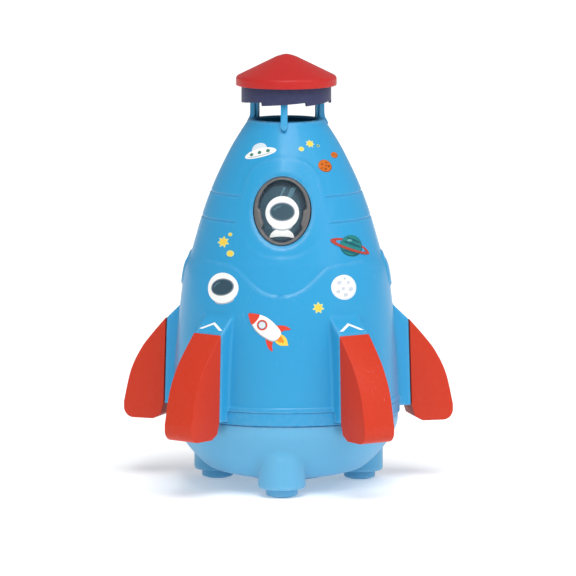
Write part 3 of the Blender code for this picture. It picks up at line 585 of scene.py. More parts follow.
def makeAroundTree():
    # repeats the given mesh round the toy's axis
    inputs = [
        ("Geometry", "Geometry", None),
        ("Count", "Int", 3),
        ("Start", "Float", 0.0),
        ("Material", "Material", None),
    ]
    tree, given, out = newTree("repeatAround", inputs)
    points = node(tree, "GeometryNodePoints", {"Count": given["Count"]}).outputs[0]
    number = tree.nodes.new("GeometryNodeInputIndex").outputs[0]
    pitch = math2(tree, "DIVIDE", math.tau, given["Count"])
    start = math2(tree, "RADIANS", given["Start"])
    angle = math2(tree, "ADD", math2(tree, "MULTIPLY", number, pitch), start)
    turn = node(tree, "ShaderNodeCombineXYZ", {"Z": angle}).outputs[0]
    copies = node(tree, "GeometryNodeInstanceOnPoints", {"Points": points, "Instance": given["Geometry"]})
    tree.links.new(turn, copies.inputs["Rotation"])
    return endTree(tree, copies, given, out)


aroundTree = makeAroundTree()


def around(mesh, count, start, material):
    return runTree(aroundTree, mesh, {"Count": count, "Start": float(start), "Material": material})
print("helpers ready")


# rocket body
lowerSide = [(59.7, 58.0), (60.1, 46.3)]
body = {
    "rimRadius": 18.6,
    "neckRadius": 17.3,
    "bottom": 46.3,
    "wall": 2.4,
    "upperSide": [(20.9, 193.8), (24.5, 188.3), (30.1, 178.8), (37.8, 162.8), (43.9, 146.8), (49.9, 126.4)],
    "underBelt": [(51.0, 122.5), (53.0, 113.0), (55.5, 99.0), (57.4, 86.0), (58.8, 72.0), *lowerSide],
    "beltSide": [(53.3, 118.0), (55.0, 108.5), (57.1, 91.0), (58.8, 73.0), *lowerSide],
    "waveHalf": 38.0,  # angle from the trough of the belt's wave to its crest
    "waveLow": 107.8,
    "waveHigh": 124.0,
    "beltFront": 0.75,
    "beltFade": (86.0, 104.0),
    "padHalf": (23.4, 25.5),
    "padHeight": 152.7,
    "padRise": 0.12,
    "padLean": 0.02,
    "windowHeight": 150.9,
    "windowHalf": (15.4, 17.7),
    "lipWidth": 2.0,
    "lipDepth": (0.35, 1.3),  # above the window and below it
    "panelLines": (157.4, 144.1),
    "panelEnd": 33.5,
    "panelDepth": 0.55,
    "sidePad": (98.0, 116.0, 13.0, 9.5, 0.9),  # angle, height, half width, half height, rise
    "ledgeRise": 0.55,
}
post = {
    "half": 1.8,
    "outer": 21.7,
    "thick": 2.2,
    "bend": 196.5,
    "lean": 0.62,
    "taper": 0.9,
    "foot": [(1.0, 196.0), (1.05, 194.0), (0.8, 192.4), (0.3, 191.5)],  # share of the half width, height
    "web": (17.5, 20.3, 193.0, 1.8),  # from, to, lowest, thickness
}
pylon = {
    "angles": {"front_right": 36, "side_right": 108, "rear": 180, "side_left": -108, "front_left": -36},
    "half": 9.2,
    "topRadius": 65.2,
    "top": 87.2,
    "bottomRadius": 66.6,
    "bottom": 40.7,
    "roof": (56.2, 95.8),
    "edge": 1.5,
    "fillet": 1.4,
    "wall": 2.0,
    "root": 52.0,
}


def heightCurve(points):
    curve = np.array(smoothThrough(points))[::-1]
    return lambda height: np.interp(height, curve[:, 1], curve[:, 0])


coreRadius = heightCurve(body["upperSide"] + body["underBelt"])
beltRadius = heightCurve(body["upperSide"] + body["beltSide"])


def bodyRadius(angle, height):
    # the body's outer radius at angles in degrees, from -180 to 180, without its pylons
    side = np.abs(angle)
    wave = smoothStep(side / body["waveHalf"])
    wave = (wave + smoothStep(wave)) / 2
    edge = body["waveLow"] + (body["waveHigh"] - body["waveLow"]) * wave
    edge = edge + 2.0 * smoothStep((side - body["waveHalf"]) / 25)
    soft = 0.9 + 6.4 * smoothStep((side - 45) / 25)
    core = coreRadius(height)
    low, high = body["beltFade"]
    frontBelt = core + body["beltFront"] * smoothStep((height - low) / (high - low))
    belt = frontBelt + (beltRadius(height) - frontBelt) * smoothStep((side - 45) / 22)
    radius = core + (belt - core) * smoothStep((edge - height) / soft)
    # the oval pad round the window, and the lip that the window sits in
    across = np.radians(angle) * core
    padU, padV = np.abs(across) / body["padHalf"][0], np.abs(height - body["padHeight"]) / body["padHalf"][1]
    pad = 1 - smoothStep(((padU**2.3 + padV**2.3) ** (1 / 2.3) - 0.965) / 0.07)
    rise = body["padRise"] + body["padLean"] * (height - body["windowHeight"])
    up = height - body["windowHeight"]
    windowU, windowV = across / body["windowHalf"][0], up / body["windowHalf"][1]
    away = np.hypot(windowU, windowV)
    gap = (away - 1) * np.hypot(across, up) / np.maximum(away, 0.1)
    low, high = body["lipDepth"]
    depth = low + (high - low) * smoothStep(0.5 - 0.75 * windowV / np.maximum(away, 0.1))
    radius = radius + pad * rise - depth * (1 - smoothStep(gap / body["lipWidth"]))
    # panel lines, side pads and the ledge at the foot
    for line in body["panelLines"]:
        groove = 1 - smoothStep(np.abs(height - line) / 0.85)
        radius = radius - body["panelDepth"] * groove * smoothStep((side - body["panelEnd"]) / 1.5)
    angleAt, heightAt, half, tall, lift = body["sidePad"]
    padU, padV = np.abs(side - angleAt) * core * math.pi / 180 / half, np.abs(height - heightAt) / tall
    radius = radius + lift * (1 - smoothStep(((padU**4 + padV**4) ** 0.25 - 0.9) / 0.14))
    ledge = smoothStep((height - 46.2) / 0.5) * (1 - smoothStep((height - 48.4) / 1.0))
    return radius + body["ledgeRise"] * ledge


def pylonDistance(offset, radius, height):
    # how far a point is outside a pylon; offset is its angle from the pylon, in radians
    out, across = radius * np.cos(offset), np.abs(radius * np.sin(offset))
    lean = (pylon["bottomRadius"] - pylon["topRadius"]) / (pylon["top"] - pylon["bottom"])
    face = out - (pylon["topRadius"] + (pylon["top"] - height) * lean)
    run, fall = pylon["topRadius"] - pylon["roof"][0], pylon["roof"][1] - pylon["top"]
    length = math.hypot(run, fall)
    roof = ((out - pylon["topRadius"]) * fall + (height - pylon["top"]) * run) / length
    shape = smoothMax(face, roof, pylon["edge"] * 0.6)
    shape = smoothMax(shape, across - pylon["half"], pylon["edge"])
    return smoothMax(shape, pylon["bottom"] - height, pylon["edge"] * 0.5)


def shellRadius(angles, heights):
    # the outer radius with the pylons, found by halving along each ray from the axis
    angle, height = np.meshgrid(angles, heights)
    base = bodyRadius((angle + 180) % 360 - 180, height)
    base = np.where(height < body["bottom"] - 0.01, 55.0, base)
    inside, outside = base - 0.5, np.full_like(base, 70.0)
    offset = np.radians(np.abs((angle % 72) - 36))
    for _ in range(24):
        middle = (inside + outside) / 2
        hull = (middle - base) * 0.97
        fillet = np.where(height < body["bottom"], 0.2, pylon["fillet"])
        value = smoothMin(hull, pylonDistance(offset, middle, height), fillet)
        inside = np.where(value < 0, middle, inside)
        outside = np.where(value < 0, outside, middle)
    return (inside + outside) / 2


def spacing(stops):
    # (from, to, step) stretches as one rising list
    values = [np.arange(low, high - step * 0.3, step) for low, high, step in stops]
    return np.append(np.concatenate(values), stops[-1][1])


def pylonPrism(by):
    lean = (pylon["bottomRadius"] - pylon["topRadius"]) / (pylon["top"] - pylon["bottom"])
    slope = (pylon["roof"][1] - pylon["top"]) / (pylon["topRadius"] - pylon["roof"][0])
    out, top, bottom = pylon["topRadius"] - by, pylon["top"] - by * 1.2, pylon["bottom"] - by * 2
    root = pylon["root"]
    foot = out + lean * (top - bottom)
    return [(root, top + (out - root) * slope), (out, top), (foot, bottom), (root, bottom)]


def postMesh(angle):
    # a T-shaped post whose foot runs out on the shoulder in a rounded point
    half, outer, bend, top = post["half"], post["outer"], post["bend"], boxOf("body_shell")[1].z
    edge = smoothThrough([(-half * share, height) for share, height in post["foot"]], 4)
    outline = [(-half, top), *edge, *[(-u, v) for u, v in reversed(edge)], (half, top)]
    count = len(outline)
    vertices = []
    for depth in (outer - post["thick"], outer):
        for across, height in outline:
            lean = max(0.0, bend - height) * post["lean"]
            if depth < outer and height < bend:
                lean -= post["taper"]
            vertices.append((across, -(depth + lean), height))
    walls = [(i, (i + 1) % count, count + (i + 1) % count, count + i) for i in range(count)]
    bar = meshFrom("bar", vertices, [list(range(count)), list(range(2 * count - 1, count - 1, -1)), *walls])
    bar = softened(bar, 0.55, 3)
    near, far, low, thick = post["web"]
    web = prismMesh("web", [(near, low), (far, low), (far, top), (near, top)], thick)
    both = carve(bar, [web], "UNION")
    both.transform(Matrix.Rotation(math.radians(angle), 4, "Z"))
    return both


def bodyMesh():
    # columns crowd together where a pylon's edges and side walls are
    edge = [0, 2.2, 4.4, 6.2, 7.2, 7.6, 7.8, 7.92, 8.02, 8.12, 8.25, 8.5, 8.8, 9.1, 9.35, 9.6]
    edge += [9.9, 10.3, 10.8, 11.4, 12.1, 12.9, 13.8, 14.8, 16, 17.2]
    half = np.array(edge + list(np.arange(18.4, 35.4, 1.1)))
    half = np.append(half, 36)
    sector = np.concatenate([-half[:0:-1], half[:-1]]) + 36
    angles = np.concatenate([sector + 72 * number for number in range(5)])
    grooves = [(line - 1.2, line + 1.2) for line in sorted(body["panelLines"])]
    heights = spacing(
        [
            (40.7, 42.3, 0.5),
            (42.3, 46.0, 1.8),
            (46.0, 46.25, 0.25),
            (46.3, 49.6, 0.35),
            (49.6, 84.0, 2.4),
            (84.0, 99.0, 0.75),
            (99.0, 130.0, 0.8),
            (130.0, grooves[0][0], 1.1),
            (*grooves[0], 0.24),
            (grooves[0][1], grooves[1][0], 1.1),
            (*grooves[1], 0.24),
            (grooves[1][1], 181.0, 1.0),
            (181.0, 193.8, 1.3),
        ]
    )
    radii = shellRadius(angles, heights)
    turns = np.radians(angles)
    rim = [(body["rimRadius"] + 1.9, 194.6), (body["rimRadius"] + 1.3, 195.2), (body["rimRadius"], 195.4)]
    rows = [(radii[i], height) for i, height in enumerate(heights)]
    rows += [(np.full(len(angles), radius), height) for radius, height in rim]
    outward = np.stack([np.sin(turns), -np.cos(turns), np.zeros(len(turns))], -1)
    vertices = [radius[:, None] * outward + (0, 0, height) for radius, height in rows]
    vertices = np.concatenate([*vertices, [(0, 0, rows[0][1]), (0, 0, rows[-1][1])]])
    spokes, faces = len(angles), []
    for row in range(len(rows) - 1):
        start = row * spokes
        for step in range(spokes):
            ahead = (step + 1) % spokes
            faces.append((start + step, start + ahead, start + spokes + ahead, start + spokes + step))
    last, foot, head = (len(rows) - 1) * spokes, len(vertices) - 2, len(vertices) - 1
    for step in range(spokes):
        ahead = (step + 1) % spokes
        faces.append((foot, ahead, step))
        faces.append((head, last + step, last + ahead))
    outer = meshFrom("body", vertices, faces)
    inner = [(r - body["wall"], z) for r, z in smoothThrough(body["upperSide"] + body["beltSide"], 3)]
    inner = [point for point in inner if point[0] > body["neckRadius"] + 1 and point[1] > body["bottom"] + 1]
    skirt = boxOf("skirt_ring")[1].x + 0.3
    bottom = body["bottom"]
    hollow = [(0, 199), (body["neckRadius"], 199), (body["neckRadius"], inner[0][1] + 0.5), *inner]
    hollow += [(inner[-1][0] + 0.2, bottom), (skirt, bottom), (skirt, 36), (0, 36)]
    tools = [turnedMesh("hollow", hollow, 120)]
    for angle in pylon["angles"].values():
        wide = 2 * (pylon["half"] - pylon["wall"])
        tools.append(prismMesh("room", pylonPrism(pylon["wall"]), wide, angle))
        hole = rodMesh("hole", 1.7, 55, 72, 24)
        hole.transform(outwards(angle, 62))
        tools.append(hole)
    half = body["windowHalf"]
    turns = [math.tau * step / 120 for step in range(120)]
    cutter = [(half[0] * math.cos(t), body["windowHeight"] + half[1] * math.sin(t)) for t in turns]
    cutter = prismMesh("cutter", cutter, 50)
    cutter.transform(Matrix.Translation((0, -50, 0)) @ Matrix.Rotation(math.radians(90), 4, "Z"))
    made = carve(outer, [*tools, cutter])
    return carve(made, [postMesh(angle) for angle in (0, 120, -120)], "UNION")


rocketMesh = bodyMesh()
bodySurface = newObject("body_surface", rocketMesh.copy())
finishPiece("rocket_body", rocketMesh, "rocket", bodyBlue, ["body_shell"], 34)
print("body")


# skirt ring
skirtLow, skirtHigh = boxOf("skirt_ring")
skirtTop, skirtOut, skirtFoot = body["bottom"] - 0.02, skirtHigh.x, skirtLow.z - 0.25
skirtProfile = [
    (skirtOut - 0.2, skirtTop, 0.3),
    (skirtOut, skirtFoot, 0.7),
    (57.0, skirtFoot, 0.3),
    (57.0, 44.0),
    (56.0, 44.0),
    (56.0, skirtHigh.z, 0.3),
    (57.2, skirtHigh.z, 0.3),
    (57.2, skirtTop),
]
skirt = turnedMesh("skirt", rounded(skirtProfile), 180)
finishPiece("skirt_band", skirt, "rocket", bodyBlue, ["skirt_ring"])


# fins
fin = {
    "half": 9.2,
    "skin": 1.8,
    "edge": 1.0,
    "reach": 89.8,
    "bottom": 32.4,
    "toe": 5.5,
    "curve": [(73.8, 77.8), (80.0, 69.6), (85.8, 57.7), (89.8, 40.9)],
    "heel": (73.0, 68.6, 2.6),
    "screwHeight": 62.0,
}


def finOutline(by):
    lean = (pylon["bottomRadius"] - pylon["topRadius"]) / (pylon["top"] - pylon["bottom"])
    top = (pylon["topRadius"] + 0.3, pylon["top"] - by * 2.2)
    low = pylon["bottom"] + by * 0.4
    root = (pylon["bottomRadius"] + 0.3 + lean * (pylon["bottom"] - low), low)
    edge = smoothThrough([top, *[(radius - by, height - by * 0.5) for radius, height in fin["curve"]]], 10)
    reach, bottom, corner = fin["reach"] - by, fin["bottom"] + by, fin["toe"] - by
    turns = [math.radians(-90 * step / 10) for step in range(11)]
    toe = [(reach - corner + corner * math.cos(t), bottom + corner + corner * math.sin(t)) for t in turns]
    heel, rise, lift = fin["heel"]
    return [*edge, *toe, (heel, bottom), (rise + by * 0.3, bottom + lift), root]


def finMesh():
    outer = softened(prismMesh("fin", finOutline(0), fin["half"] * 2), fin["edge"], 4, 30)
    room = finOutline(fin["skin"])
    room += [(pylon["topRadius"] - 3, room[-1][1]), (pylon["topRadius"] - 3, room[0][1])]
    hollow = prismMesh("room", room, 2 * (fin["half"] - fin["skin"]))
    post, pilot = rodMesh("post", 3.2, 66.6, 81.8), rodMesh("pilot", 1.3, 60, 78, 24)
    for rod in (post, pilot):
        rod.transform(outwards(0, fin["screwHeight"]))
    return carve(carve(carve(outer, [hollow]), [post], "UNION"), [pilot])


firstFin = finMesh()
for name, angle in pylon["angles"].items():
    mesh = firstFin.copy()
    mesh.transform(Matrix.Rotation(math.radians(angle), 4, "Z"))
    finishPiece(f"fin_shell_{name}", mesh, "rocket", finRed, [f"fin_{name}"], 34)
print("fins")


# nose cap
cap = {"slope": 0.5, "tip": 5.5, "shoulder": 2.4}
capLow, capHigh = boxOf("nose_cap")
capOut, capTop = capHigh.x, capHigh.z
shoulder = capTop + 1.5 - capOut * cap["slope"]
ringOut = boxOf("deflector_ring")[1].x
tipEnd = (cap["tip"], capTop + 1.3 - cap["tip"] * cap["slope"])
capProfile = [(0, capTop), *smoothThrough([(0.01, capTop), (2.4, capTop - 0.45), tipEnd], 6)[1:]]
outer = [
    (0, capTop),
    (capOut, shoulder, cap["shoulder"]),
    (capOut, capLow.z, 0.5),
    (ringOut + 0.5, capLow.z, 0.2),
    (ringOut + 0.5, shoulder - 1.6, 1.5),
    (4.0, capTop - 4.2),
    (0, capTop - 4.2),
]
outer = rounded(outer, 8)[1:]
capMesh = turnedMesh("cap", capProfile + outer, 160)
finishPiece("cone_cap", capMesh, "rocket", capRed, ["nose_cap"], 40)


# toothed deflector ring
deflector = {
    "wall": 1.5,
    "toothCount": 6,
    "toothDepth": 1.9,
    "plate": (211.0, 213.0),
    "coneTip": 204.5,
    "vane": (9.0, 22.9, 206.2, 1.6),  # from, to, lowest, thickness
    "screwCircle": 20.2,
}


def makeToothTree():
    # a thin-walled ring whose lower edge is cut into saw teeth
    inputs = [
        ("Radius", "Float", 23.0),
        ("Wall", "Float", 1.5),
        ("Bottom", "Float", 204.0),
        ("Top", "Float", 215.0),
        ("Teeth", "Int", 6),
        ("Tooth Depth", "Float", 1.9),
        ("Steps", "Int", 360),
        ("Edge", "Float", 0.3),
        ("Material", "Material", None),
    ]
    tree, given, out = newTree("toothedRing", inputs)
    middle = math2(tree, "SUBTRACT", given["Radius"], math2(tree, "MULTIPLY", given["Wall"], 0.5))
    path = node(tree, "GeometryNodeCurvePrimitiveCircle", {"Resolution": given["Steps"], "Radius": middle})
    tall = math2(tree, "SUBTRACT", given["Top"], given["Bottom"])
    section = node(tree, "GeometryNodeCurvePrimitiveQuadrilateral", {"Width": given["Wall"], "Height": tall})
    soft = {"Curve": section.outputs[0], "Radius": given["Edge"], "Count": 3}
    soft = node(tree, "GeometryNodeFilletCurve", soft, mode="POLY")
    swept = {"Curve": path.outputs[0], "Profile Curve": soft.outputs[0]}
    swept = node(tree, "GeometryNodeCurveToMesh", swept)
    place = tree.nodes.new("GeometryNodeInputPosition").outputs[0]
    parts = node(tree, "ShaderNodeSeparateXYZ", {0: place})
    angle = math2(tree, "ARCTAN2", parts.outputs[0], math2(tree, "MULTIPLY", parts.outputs[1], -1.0))
    pitch = math2(tree, "DIVIDE", math.tau, given["Teeth"])
    share = math2(tree, "FRACT", math2(tree, "ADD", math2(tree, "DIVIDE", angle, pitch), 10.5))
    low = math2(tree, "LESS_THAN", parts.outputs[2], 0.0)
    rise = math2(tree, "MULTIPLY", math2(tree, "MULTIPLY", share, given["Tooth Depth"]), low)
    centre = math2(tree, "MULTIPLY", math2(tree, "ADD", given["Top"], given["Bottom"]), 0.5)
    lift = node(tree, "ShaderNodeCombineXYZ", {"Z": math2(tree, "ADD", rise, centre)})
    moved = node(tree, "GeometryNodeSetPosition", {"Geometry": swept.outputs[0], "Offset": lift.outputs[0]})
    return endTree(tree, moved, given, out)


def deflectorMesh():
    low, high = boxOf("deflector_ring")
    values = {
        "Radius": high.x,
        "Wall": deflector["wall"],
        "Bottom": low.z,
        "Top": high.z,
        "Teeth": deflector["toothCount"],
        "Tooth Depth": deflector["toothDepth"],
        "Material": ringNavy,
    }
    ring = runTree(makeToothTree(), bpy.data.meshes.new("blank"), values)
    work = bmesh.new()
    work.from_mesh(ring)
    bmesh.ops.recalc_face_normals(work, faces=work.faces)
    work.to_mesh(ring)
    work.free()
    plateLow, plateHigh = deflector["plate"]
    rim = high.x - deflector["wall"] * 0.6
    cone = [(6.5, plateLow), (3.4, plateLow - 2.2), (1.3, plateLow - 5.2), (0.02, deflector["coneTip"])]
    cone = smoothThrough(cone, 5)
    plate = [(0, plateHigh), (rim, plateHigh), (rim, plateLow), *cone[:-1], (0, deflector["coneTip"])]
    made = carve(ring, [turnedMesh("plate", plate, 120)], "UNION")
    near, far, bottom, thick = deflector["vane"]
    vane = rounded([(near, plateLow + 0.6), (far, plateLow + 0.6), (far, bottom), (near, bottom, 2.5)])
    vane = prismMesh("vane", vane, thick)
    vanes = around(vane, deflector["toothCount"], 30, ringNavy)
    made = carve(made, [vanes], "UNION")
    holes = rodMesh("hole", 1.5, 209, 216, 24)
    holes.transform(Matrix.Translation((0, -deflector["screwCircle"], 0)))
    return carve(made, [around(holes, 3, 0, ringNavy)])


finishPiece("toothed_ring", deflectorMesh(), "rocket", ringNavy, ["deflector_ring"], 30)
print("head")


# launch base
bowl = {
    "side": [(59.5, 38.6), (58.6, 32.0), (52.4, 21.4), (42.9, 11.6), (36.0, 8.6), (29.0, 7.2)],
    "shoulder": 39.2,
    "bottom": 7.2,
    "collar": (53.2, 55.2, 45.0),
    "wall": 2.0,
    "feet": (0, 120, -120),
    "footCircle": 44.0,
    "lugRadius": 12.5,
    "lugTop": 28.5,
    "lugBottom": 4.6,
    "lugDome": 7.5,
    "lugBlend": 2.6,
    "bossRadius": 12.2,
    "bossFace": 59.2,
    "inletHeight": 19.0,
    "coverHole": 13.5,
    "coverScrews": 17.8,
    "cell": 0.95,
}
bowlRadius = heightCurve([*bowl["side"], (20.0, 7.0)])


def roundedRod(across, along, radius, low, high, soft):
    # distance to an upright rod with rounded ends
    out = across - (radius - soft)
    up = np.abs(along - (low + high) / 2) - ((high - low) / 2 - soft)
    return np.minimum(np.maximum(out, up), 0) + np.hypot(np.maximum(out, 0), np.maximum(up, 0)) - soft


def bowlField(points):
    x, y, z = points.T
    radius = np.hypot(x, y)
    shape = (radius - bowlRadius(z)) * 0.8
    shape = smoothMax(shape, bowl["bottom"] - z, 0.8)
    for foot in bowl["feet"]:
        angle = math.radians(foot)
        across = np.hypot(x - bowl["footCircle"] * math.sin(angle), y + bowl["footCircle"] * math.cos(angle))
        low, top = bowl["lugBottom"] - 12, bowl["lugTop"]
        lug = roundedRod(across, z, bowl["lugRadius"], low, top, bowl["lugDome"])
        lug = smoothMax(lug, bowl["lugBottom"] - z, 1.6)
        shape = smoothMin(shape, lug, bowl["lugBlend"])
    across = np.hypot(x, z - bowl["inletHeight"])
    boss = np.maximum(roundedRod(across, y, bowl["bossRadius"], 20, bowl["bossFace"], 1.0), 30 - y)
    shape = smoothMin(shape, boss, 3.0)
    return smoothMax(shape, z - bowl["shoulder"], 0.8)


def bowlMesh():
    reach, front = 62, 62
    outer = surfaceNet(bowlField, (-reach, -front, 3), (reach, 62, 41), bowl["cell"])
    collarIn, collarOut, collarTop = bowl["collar"]
    wall, bottom = bowl["wall"], bowl["bottom"]
    collar = [(collarOut, collarTop, 0.5), (collarOut, 36), (collarIn, 36), (collarIn, collarTop, 0.5)]
    collar = turnedMesh("collar", rounded(collar), 160)
    side = smoothThrough(bowl["side"], 4)
    inner = [(radius - wall * 1.1, height + wall * 0.6) for radius, height in side if height < 35]
    room = [(0, collarTop + 1), (collarIn, collarTop + 1), (collarIn, 37), (inner[0][0], 36)]
    room += [*inner, (0, bottom + wall)]
    made = carve(outer, [turnedMesh("room", room, 120)])
    made = carve(made, [collar], "UNION")
    spot = Matrix.Translation((0, -bowl["footCircle"], 0))
    radius, low, top = bowl["lugRadius"] - wall, bowl["lugBottom"] + 5, bowl["lugTop"] - wall
    dome = smoothThrough([(0.02, top), (radius * 0.6, top - 1.4), (radius, top - 8)], 5)[1:]
    lug = turnedMesh("lug", [(0, top), *dome, (radius, low), (0, low)], 64)
    tools = []
    for mesh in (lug, rodMesh("recess", 3.7, 0, bowl["lugBottom"] + 2.8), rodMesh("hole", 1.5, 0, 12)):
        mesh.transform(spot)
        tools.append(around(mesh, 3, 0, bowlBlue))
    for radius, low, high in ((bowl["bossRadius"] - wall, 30, bowl["bossFace"] - wall), (8.3, 45, 60)):
        rod = rodMesh("boss", radius, low, high)
        rod.transform(outwards(180, bowl["inletHeight"]))
        tools.append(rod)
    tools.append(rodMesh("bottomHole", bowl["coverHole"], 0, 12, 96))
    made = carve(made, tools)
    post, pilot = rodMesh("post", 2.8, bottom + 0.5, 11), rodMesh("pilot", 1.1, 0, 10, 24)
    for mesh in (post, pilot):
        mesh.transform(Matrix.Translation((0, -bowl["coverScrews"], 0)))
    made = carve(made, [around(post, 3, 0, bowlBlue)], "UNION")
    return carve(made, [around(pilot, 3, 0, bowlBlue)])


finishPiece("bowl_shell", bowlMesh(), "base", bowlBlue, ["base_bowl"], 38)
for number, angle in enumerate(bowl["feet"], 1):
    low, high = boxOf(f"foot_pad_{number}")
    radius, top = (high.x - low.x) / 2, high.z
    grip = [(5.6, 0), (5.0, 0.7), (4.4, 0), (2.6, 0), (2.0, 0.7), (1.4, 0), (0, 0)]
    pad = turnedMesh("pad", rounded([(0, top), (radius, top, 0.4), (radius, 0, 1.6)]) + grip, 96)
    pad.transform(Matrix.Translation(((low.x + high.x) / 2, (low.y + high.y) / 2, 0)))
    finishPiece(f"foot_{number}", pad, "base", bowlBlue, [f"foot_pad_{number}"], 34)
print("base")


# porthole
porthole = {
    "outerHalf": (15.1, 17.4),
    "innerHalf": (13.2, 16.1),
    "tilt": 0.07,  # how much further the rim stands out with height
    "tab": 1.7,
    "tabLow": -34.0,
    "tabHigh": 6.0,
    "rim": [(0, 0.3), (0.25, 0.75), (0.65, 0.75), (1, 0.1), (1, -1.9), (0, -1.9)],  # share across, lift
    "glassHalf": (13.8, 16.7),
    "glassLift": (-0.25, -1.3),
    "cardHalf": (15.6, 17.6),
    "cardLift": (-3.0, -3.8),
}


def portholePoint(across, up, lift):
    # a point over the body's front, measured from the porthole's middle
    height = body["windowHeight"] + up
    core = float(coreRadius(height))
    radius = core + 0.1 + porthole["tilt"] * up + lift
    angle = across / core
    return radius * math.sin(angle), -radius * math.cos(angle), height


def rimMesh():
    steps, rings = 144, []
    for share, lift in rounded([(*point, 0.15) for point in porthole["rim"]], 3):
        ring = []
        for step in range(steps):
            turn = math.tau * step / steps
            side = math.degrees(math.asin(math.sin(turn)))
            tab = smoothStep((side - porthole["tabLow"]) / 7) * smoothStep((porthole["tabHigh"] - side) / 7)
            halves = zip(porthole["innerHalf"], porthole["outerHalf"])
            across, up = [near + (far - near) * share for near, far in halves]
            narrow = 1 - porthole["tab"] * tab * (1 - share) / porthole["innerHalf"][0]
            ring.append(portholePoint(across * narrow * math.cos(turn), up * narrow * math.sin(turn), lift))
        rings.append(ring)
    vertices = [point for ring in rings for point in ring]
    faces = []
    for row in range(len(rings)):
        here, below = row * steps, (row + 1) % len(rings) * steps
        for step in range(steps):
            ahead = (step + 1) % steps
            faces.append((here + step, here + ahead, below + ahead, below + step))
    return meshFrom("rim", vertices, faces)


def paneMesh(half, lifts, bulge=0.0):
    # a pane that follows the body's front
    steps, rows = 96, 16
    vertices, faces = [], []
    for side, lift in enumerate(lifts):
        vertices.append(portholePoint(0, 0, lift + bulge))
        for row in range(1, rows + 1):
            share = row / rows
            for step in range(steps):
                turn = math.tau * step / steps
                across, up = half[0] * share * math.cos(turn), half[1] * share * math.sin(turn)
                vertices.append(portholePoint(across, up, lift + bulge * (1 - share * share)))
    count = 1 + rows * steps
    for side in (0, 1):
        base = side * count
        for step in range(steps):
            ahead = (step + 1) % steps
            faces.append((base, base + 1 + step, base + 1 + ahead))
            for row in range(rows - 1):
                a = base + 1 + row * steps
                faces.append((a + step, a + steps + step, a + steps + ahead, a + ahead))
    edge = 1 + (rows - 1) * steps
    for step in range(steps):
        ahead = (step + 1) % steps
        faces.append((edge + step, count + edge + step, count + edge + ahead, edge + ahead))
    return meshFrom("pane", vertices, faces)


finishPiece("porthole_rim", rimMesh(), "rocket", bezelGrey, ["window_bezel"], 40)
glass = paneMesh(porthole["glassHalf"], porthole["glassLift"], 0.5)
finishPiece("porthole_glass", glass, "rocket", clearPane, ["window_glass"], 40)


# printed art
# every layer is (outline, color); outlines are flat, in mm, and colors are 0 to 255
inkColors = {
    "white": (246, 246, 243),
    "pale": (214, 226, 232),
    "grey": (176, 184, 190),
    "crater": (200, 208, 216),
    "steel": (120, 134, 146),
    "teal": (34, 128, 124),
    "tealDark": (24, 92, 104),
    "tealPale": (92, 168, 170),
    "orange": (205, 106, 26),
    "orangeDark": (142, 70, 20),
    "red": (222, 68, 46),
    "rust": (178, 64, 50),
    "yellow": (246, 206, 78),
    "yellowPale": (206, 226, 160),
    "flame": (242, 142, 44),
    "space": (52, 78, 92),
    "spaceDark": (36, 54, 70),
    "spacePale": (82, 118, 134),
    "leaf": (72, 130, 112),
}


artFacing = 3.1  # the prints look undistorted from this angle
artPitch = 1.3  # the size of their triangles
artFloat = 12.0  # how far out they start before they are laid on
artThick = 0.12
sideArt = 70  # prints beyond this angle aren't widened


def linearColor(name):
    levels = [level / 255 for level in inkColors[name]]
    return [*[c / 12.92 if c < 0.04045 else ((c + 0.055) / 1.055) ** 2.4 for c in levels], 1.0]


def oval(u, v, halfU, halfV=None, turn=0.0, span=(0, 360), steps=40):
    halfV = halfV or halfU
    c, s = math.cos(math.radians(turn)), math.sin(math.radians(turn))
    whole = span[1] - span[0] >= 360
    outline = []
    for step in range(steps + (0 if whole else 1)):
        t = math.radians(span[0] + (span[1] - span[0]) * step / steps)
        a, b = halfU * math.cos(t), halfV * math.sin(t)
        outline.append((u + a * c - b * s, v + a * s + b * c))
    return outline


def bandShape(u, v, far, near, turn, span, steps=40):
    # the part of a flat ring between two ovals
    outer = oval(u, v, *far, turn, span, steps)
    return outer + oval(u, v, *near, turn, span, steps)[::-1]


def burst(u, v, radius, points=7, depth=0.52, turn=90.0):
    outline = []
    for step in range(points * 2):
        reach = radius if step % 2 == 0 else radius * depth
        t = math.radians(turn) + math.pi * step / points
        outline.append((u + reach * math.cos(t), v + reach * math.sin(t)))
    return rounded([(*point, radius * 0.12) for point in outline], 3)


def curved(*points):
    return smoothThrough(points, 6, closed=True)


def mirrored(outline):
    return [(-u, v) for u, v in outline][::-1]


def turnedLayers(layers, turn, scale=1.0, shift=(0, 0)):
    c, s = math.cos(math.radians(turn)) * scale, math.sin(math.radians(turn)) * scale
    made = []
    for outline, ink in layers:
        made.append(([(u * c - v * s + shift[0], u * s + v * c + shift[1]) for u, v in outline], ink))
    return made


def starArt(radius, rest=()):
    layers = [(burst(0, 0, radius * 1.12), "yellowPale"), (burst(0, 0, radius * 0.88), "yellow")]
    for u, v, size, ink in rest:
        layers += [(oval(u, v, size), "yellowPale"), (oval(u, v, size * 0.72), ink)]
    return layers


def saucerArt():
    layers = [(oval(0, 1.6, 3.8, 3.2), "pale"), (oval(0, -1.0, 8.0, 2.6), "white")]
    layers.append((bandShape(0, -1.0, (7.0, 1.9), (7.0, 1.4), 0, (200, 340)), "grey"))
    for u in (-4.2, 0, 4.2):
        layers.append((oval(u, -0.8, 0.9), "leaf"))
    return turnedLayers(layers, 20)


